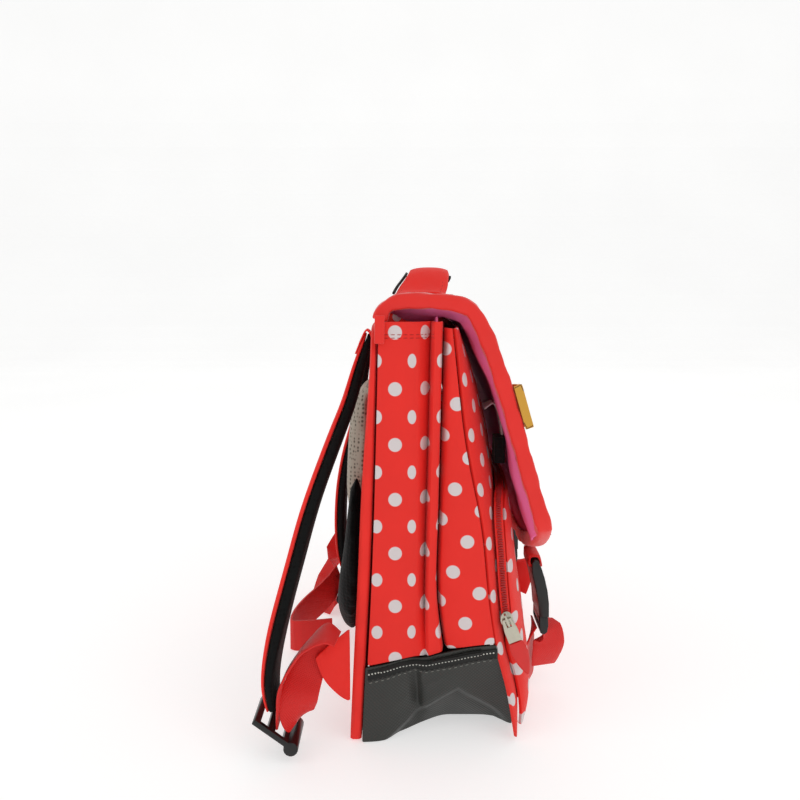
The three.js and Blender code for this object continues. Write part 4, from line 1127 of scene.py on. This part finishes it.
def strap_edges():
    """Two rows along each shoulder strap."""
    for side, sign in SIDES:
        piece = SEWN["strap_cover_" + side]
        tree = surface_of(piece)
        xs = [v.co.x for v in piece.data.vertices]
        heights = [v.co.z for v in piece.data.vertices]
        across = np.arange(min(xs) - 0.001, max(xs) + 0.001, 0.001)
        levels = np.arange(min(heights) + 0.006, max(heights) - 0.006, 0.004)
        stations = [lambda shift, z=z: (shift, 0.25, z) for z in levels]
        seam("strap_stitches_" + side, edge_lines(tree, stations, across, (0, -1, 0), 0.0032), **SUNK)


def handle_edges():
    """Two rows along the handle's grip, seen from above."""
    tree = surface_of(SEWN["handle_grip"])
    across = np.arange(-0.03, 0.045, 0.001)
    stations = [lambda shift, x=x: (x, shift, 0.36) for x in np.arange(-0.056, 0.0565, 0.003)]
    seam("handle_stitches", edge_lines(tree, stations, across, (0, 0, -1), 0.003), **SUNK)


def panel_edges():
    """A row round the back panel."""
    tree = surface_of(SEWN["back_panel"])
    across = np.arange(-0.158, 0.158, 0.001)
    stations = [lambda shift, z=z: (shift, 0.2, z) for z in np.arange(0.006, 0.26, 0.004)]
    seam("panel_stitches", edge_lines(tree, stations, across, (0, -1, 0), 0.006), **SUNK)


def zip_coil():
    """Coil of the zip on its tape, up one side, over the pocket and down the other."""
    tree = surface_of(SEWN["pocket_zip_tape"])
    route = []
    foot, top, corner = 0.077, 0.1594, 0.0234
    widest, taper, height = 0.1454, 0.003, 0.27
    for z in np.arange(foot, top - corner, 0.002):
        route.append((-(widest - taper * (1 - z / height)), z, -1.0, 0.0))
    edge = route[-1][0]
    for turn in np.linspace(math.pi, math.pi / 2, 16):
        route.append((edge + corner + corner * math.cos(turn), top - corner + corner * math.sin(turn),
                      math.cos(turn), math.sin(turn)))
    route.extend((x, top, 0.0, 1.0) for x in np.arange(edge + corner + 0.002, 0.0, 0.002))
    route = route + [(-x, z, -ox, oz) for x, z, ox, oz in reversed(route)]
    line = []
    for x, z, ox, oz in route:
        out = Vector((ox, 0, oz))
        hits = []
        for y in np.arange(-0.085, -0.01, 0.0005):
            hits.extend(cast_line(tree, [Vector((x, y, z)) + out * 0.02], -out, 0.03))
        if hits:
            ys = [place.y for place, _ in hits]
            middle = (min(ys) + max(ys)) / 2
            place = min(hits, key=lambda hit: abs(hit[0].y - middle))[0]
            line.append((place, out))
    sewing = bpy.context.scene.ransel_sewing
    seam("zip_teeth", [line], "teeth", "red_plastic", tooth_pad(), (0.0011, 0.0034, 0.0014),
         sewing.tooth, 0.0003)


# Place, size and share of the main light's strength of each soft light
SOFTBOXES = ((-1.3, -1.0, 1.5, 1.4, 1.0), (-0.9, 1.5, 1.2, 1.2, 0.6), (0.9, -0.4, 1.9, 1.5, 0.6))
LIT_POINT = Vector((0, 0, 0.12))
ROOM_LIGHT = 0.62
CAMERA_PLACE = (-0.677, 0.024, 0.290)
FLOOR_SIZE = 6.0
FLOOR_MIDDLE = 0.6
SWEEP_HEIGHT = 3.5
SWEEP_RADIUS = 1.2


class RANSEL_OT_stage(bpy.types.Operator):
    """Pale floor with a swept-up back, soft lights and the camera"""

    bl_idname = "ransel.stage"
    bl_label = "Stage"

    def execute(self, context):
        stage = context.scene.ransel_stage
        floor = sweep_floor()
        for index, (x, y, z, size, share) in enumerate(SOFTBOXES):
            data = bpy.data.lights.new("Softbox " + str(index + 1), "AREA")
            data.energy = stage.light * share
            data.size = size
            lamp = bpy.data.objects.new(data.name, data)
            lamp.location = (x, y, z)
            lamp.rotation_euler = (LIT_POINT - lamp.location).to_track_quat("-Z", "Y").to_euler()
            context.scene.collection.objects.link(lamp)
        world = context.scene.world or bpy.data.worlds.new("Studio")
        context.scene.world = world
        world.use_nodes = True
        background = world.node_tree.nodes["Background"]
        background.inputs["Color"].default_value = (1, 1, 1, 1)
        background.inputs["Strength"].default_value = ROOM_LIGHT
        data = bpy.data.cameras.new("Camera")
        data.lens = stage.lens
        data.sensor_width = 36.0
        data.clip_start = 0.01
        camera = bpy.data.objects.new("Camera", data)
        camera.location = CAMERA_PLACE
        camera.rotation_euler = (stage.tilt, 0, math.radians(-90))
        context.scene.collection.objects.link(camera)
        context.scene.camera = camera
        context.scene.view_settings.view_transform = "Standard"
        return {"FINISHED"}


def sweep_floor():
    """A floor whose far edge is drawn up in a wide curve."""
    bpy.ops.mesh.primitive_plane_add(size=FLOOR_SIZE, location=(FLOOR_MIDDLE, 0, 0))
    floor = bpy.context.object
    floor.name = "studio_floor"
    bpy.ops.object.transform_apply(location=True)
    form = bmesh.new()
    form.from_mesh(floor.data)
    behind = FLOOR_SIZE / 2
    far = [e for e in form.edges if all(v.co.x > behind for v in e.verts)]
    drawn = bmesh.ops.extrude_edge_only(form, edges=far)
    raised = [part for part in drawn["geom"] if isinstance(part, bmesh.types.BMVert)]
    bmesh.ops.translate(form, vec=(0, 0, SWEEP_HEIGHT), verts=raised)
    bend = [e for e in form.edges if all(v.co.x > behind and v.co.z < 0.01 for v in e.verts)]
    bmesh.ops.bevel(form, geom=bend, offset=SWEEP_RADIUS, segments=16, affect="EDGES", profile=0.5)
    form.to_mesh(floor.data)
    form.free()
    material, tree, shader = fresh("Matt white paper")
    # Seamless paper: pale and matt, with a faint change of tone
    tone = noise(tree, object_place(tree), 0.4)
    tree.links.new(mixed(tree, tone, linear("#C6C6C5"), linear("#CFCFCE")), shader.inputs["Base Color"])
    valued(shader, Roughness=0.9, Emission_Color=(1, 1, 1, 1), Emission_Strength=0.52)
    floor.data.materials.append(material)
    return floor


class RANSEL_PT_panel(bpy.types.Panel):
    """Lists the ransel's sizes and its pieces"""

    bl_idname = "RANSEL_PT_panel"
    bl_label = "School Ransel"
    bl_space_type = "VIEW_3D"
    bl_region_type = "UI"
    bl_category = "Ransel"

    def draw(self, context):
        scene = context.scene
        for group in (scene.ransel_cloth, scene.ransel_sewing, scene.ransel_stage):
            box = self.layout.box()
            for key in group.bl_rna.properties.keys():
                if key not in ("rna_type", "name"):
                    box.prop(group, key)
        for piece in PIECES:
            self.layout.operator(piece.bl_idname)


PIECES = (
    RANSEL_OT_stage, RANSEL_OT_sides, RANSEL_OT_front, RANSEL_OT_boot, RANSEL_OT_flap, RANSEL_OT_back,
    RANSEL_OT_handle, RANSEL_OT_straps, RANSEL_OT_closures, RANSEL_OT_zip, RANSEL_OT_ribbon,
    RANSEL_OT_stitching,
)
GROUPS = (("ransel_cloth", RanselCloth), ("ransel_sewing", RanselSewing), ("ransel_stage", RanselStage))


def register():
    """Registers the groups, the operators and the panel."""
    for name, group in GROUPS:
        bpy.utils.register_class(group)
        setattr(bpy.types.Scene, name, PointerProperty(type=group))
    for piece in (*PIECES, RANSEL_PT_panel):
        bpy.utils.register_class(piece)


def unregister():
    """Takes back what register added."""
    for piece in reversed((*PIECES, RANSEL_PT_panel)):
        bpy.utils.unregister_class(piece)
    for name, group in reversed(GROUPS):
        delattr(bpy.types.Scene, name)
        bpy.utils.unregister_class(group)


def main():
    """Builds the whole ransel in order."""
    for name in ("Cube", "Light", "Camera"):
        if name in bpy.data.objects:
            bpy.data.objects.remove(bpy.data.objects[name])
    register()
    for piece in PIECES:
        group, action = piece.bl_idname.split(".")
        getattr(getattr(bpy.ops, group), action)()


if __name__ == "__main__":
    main()
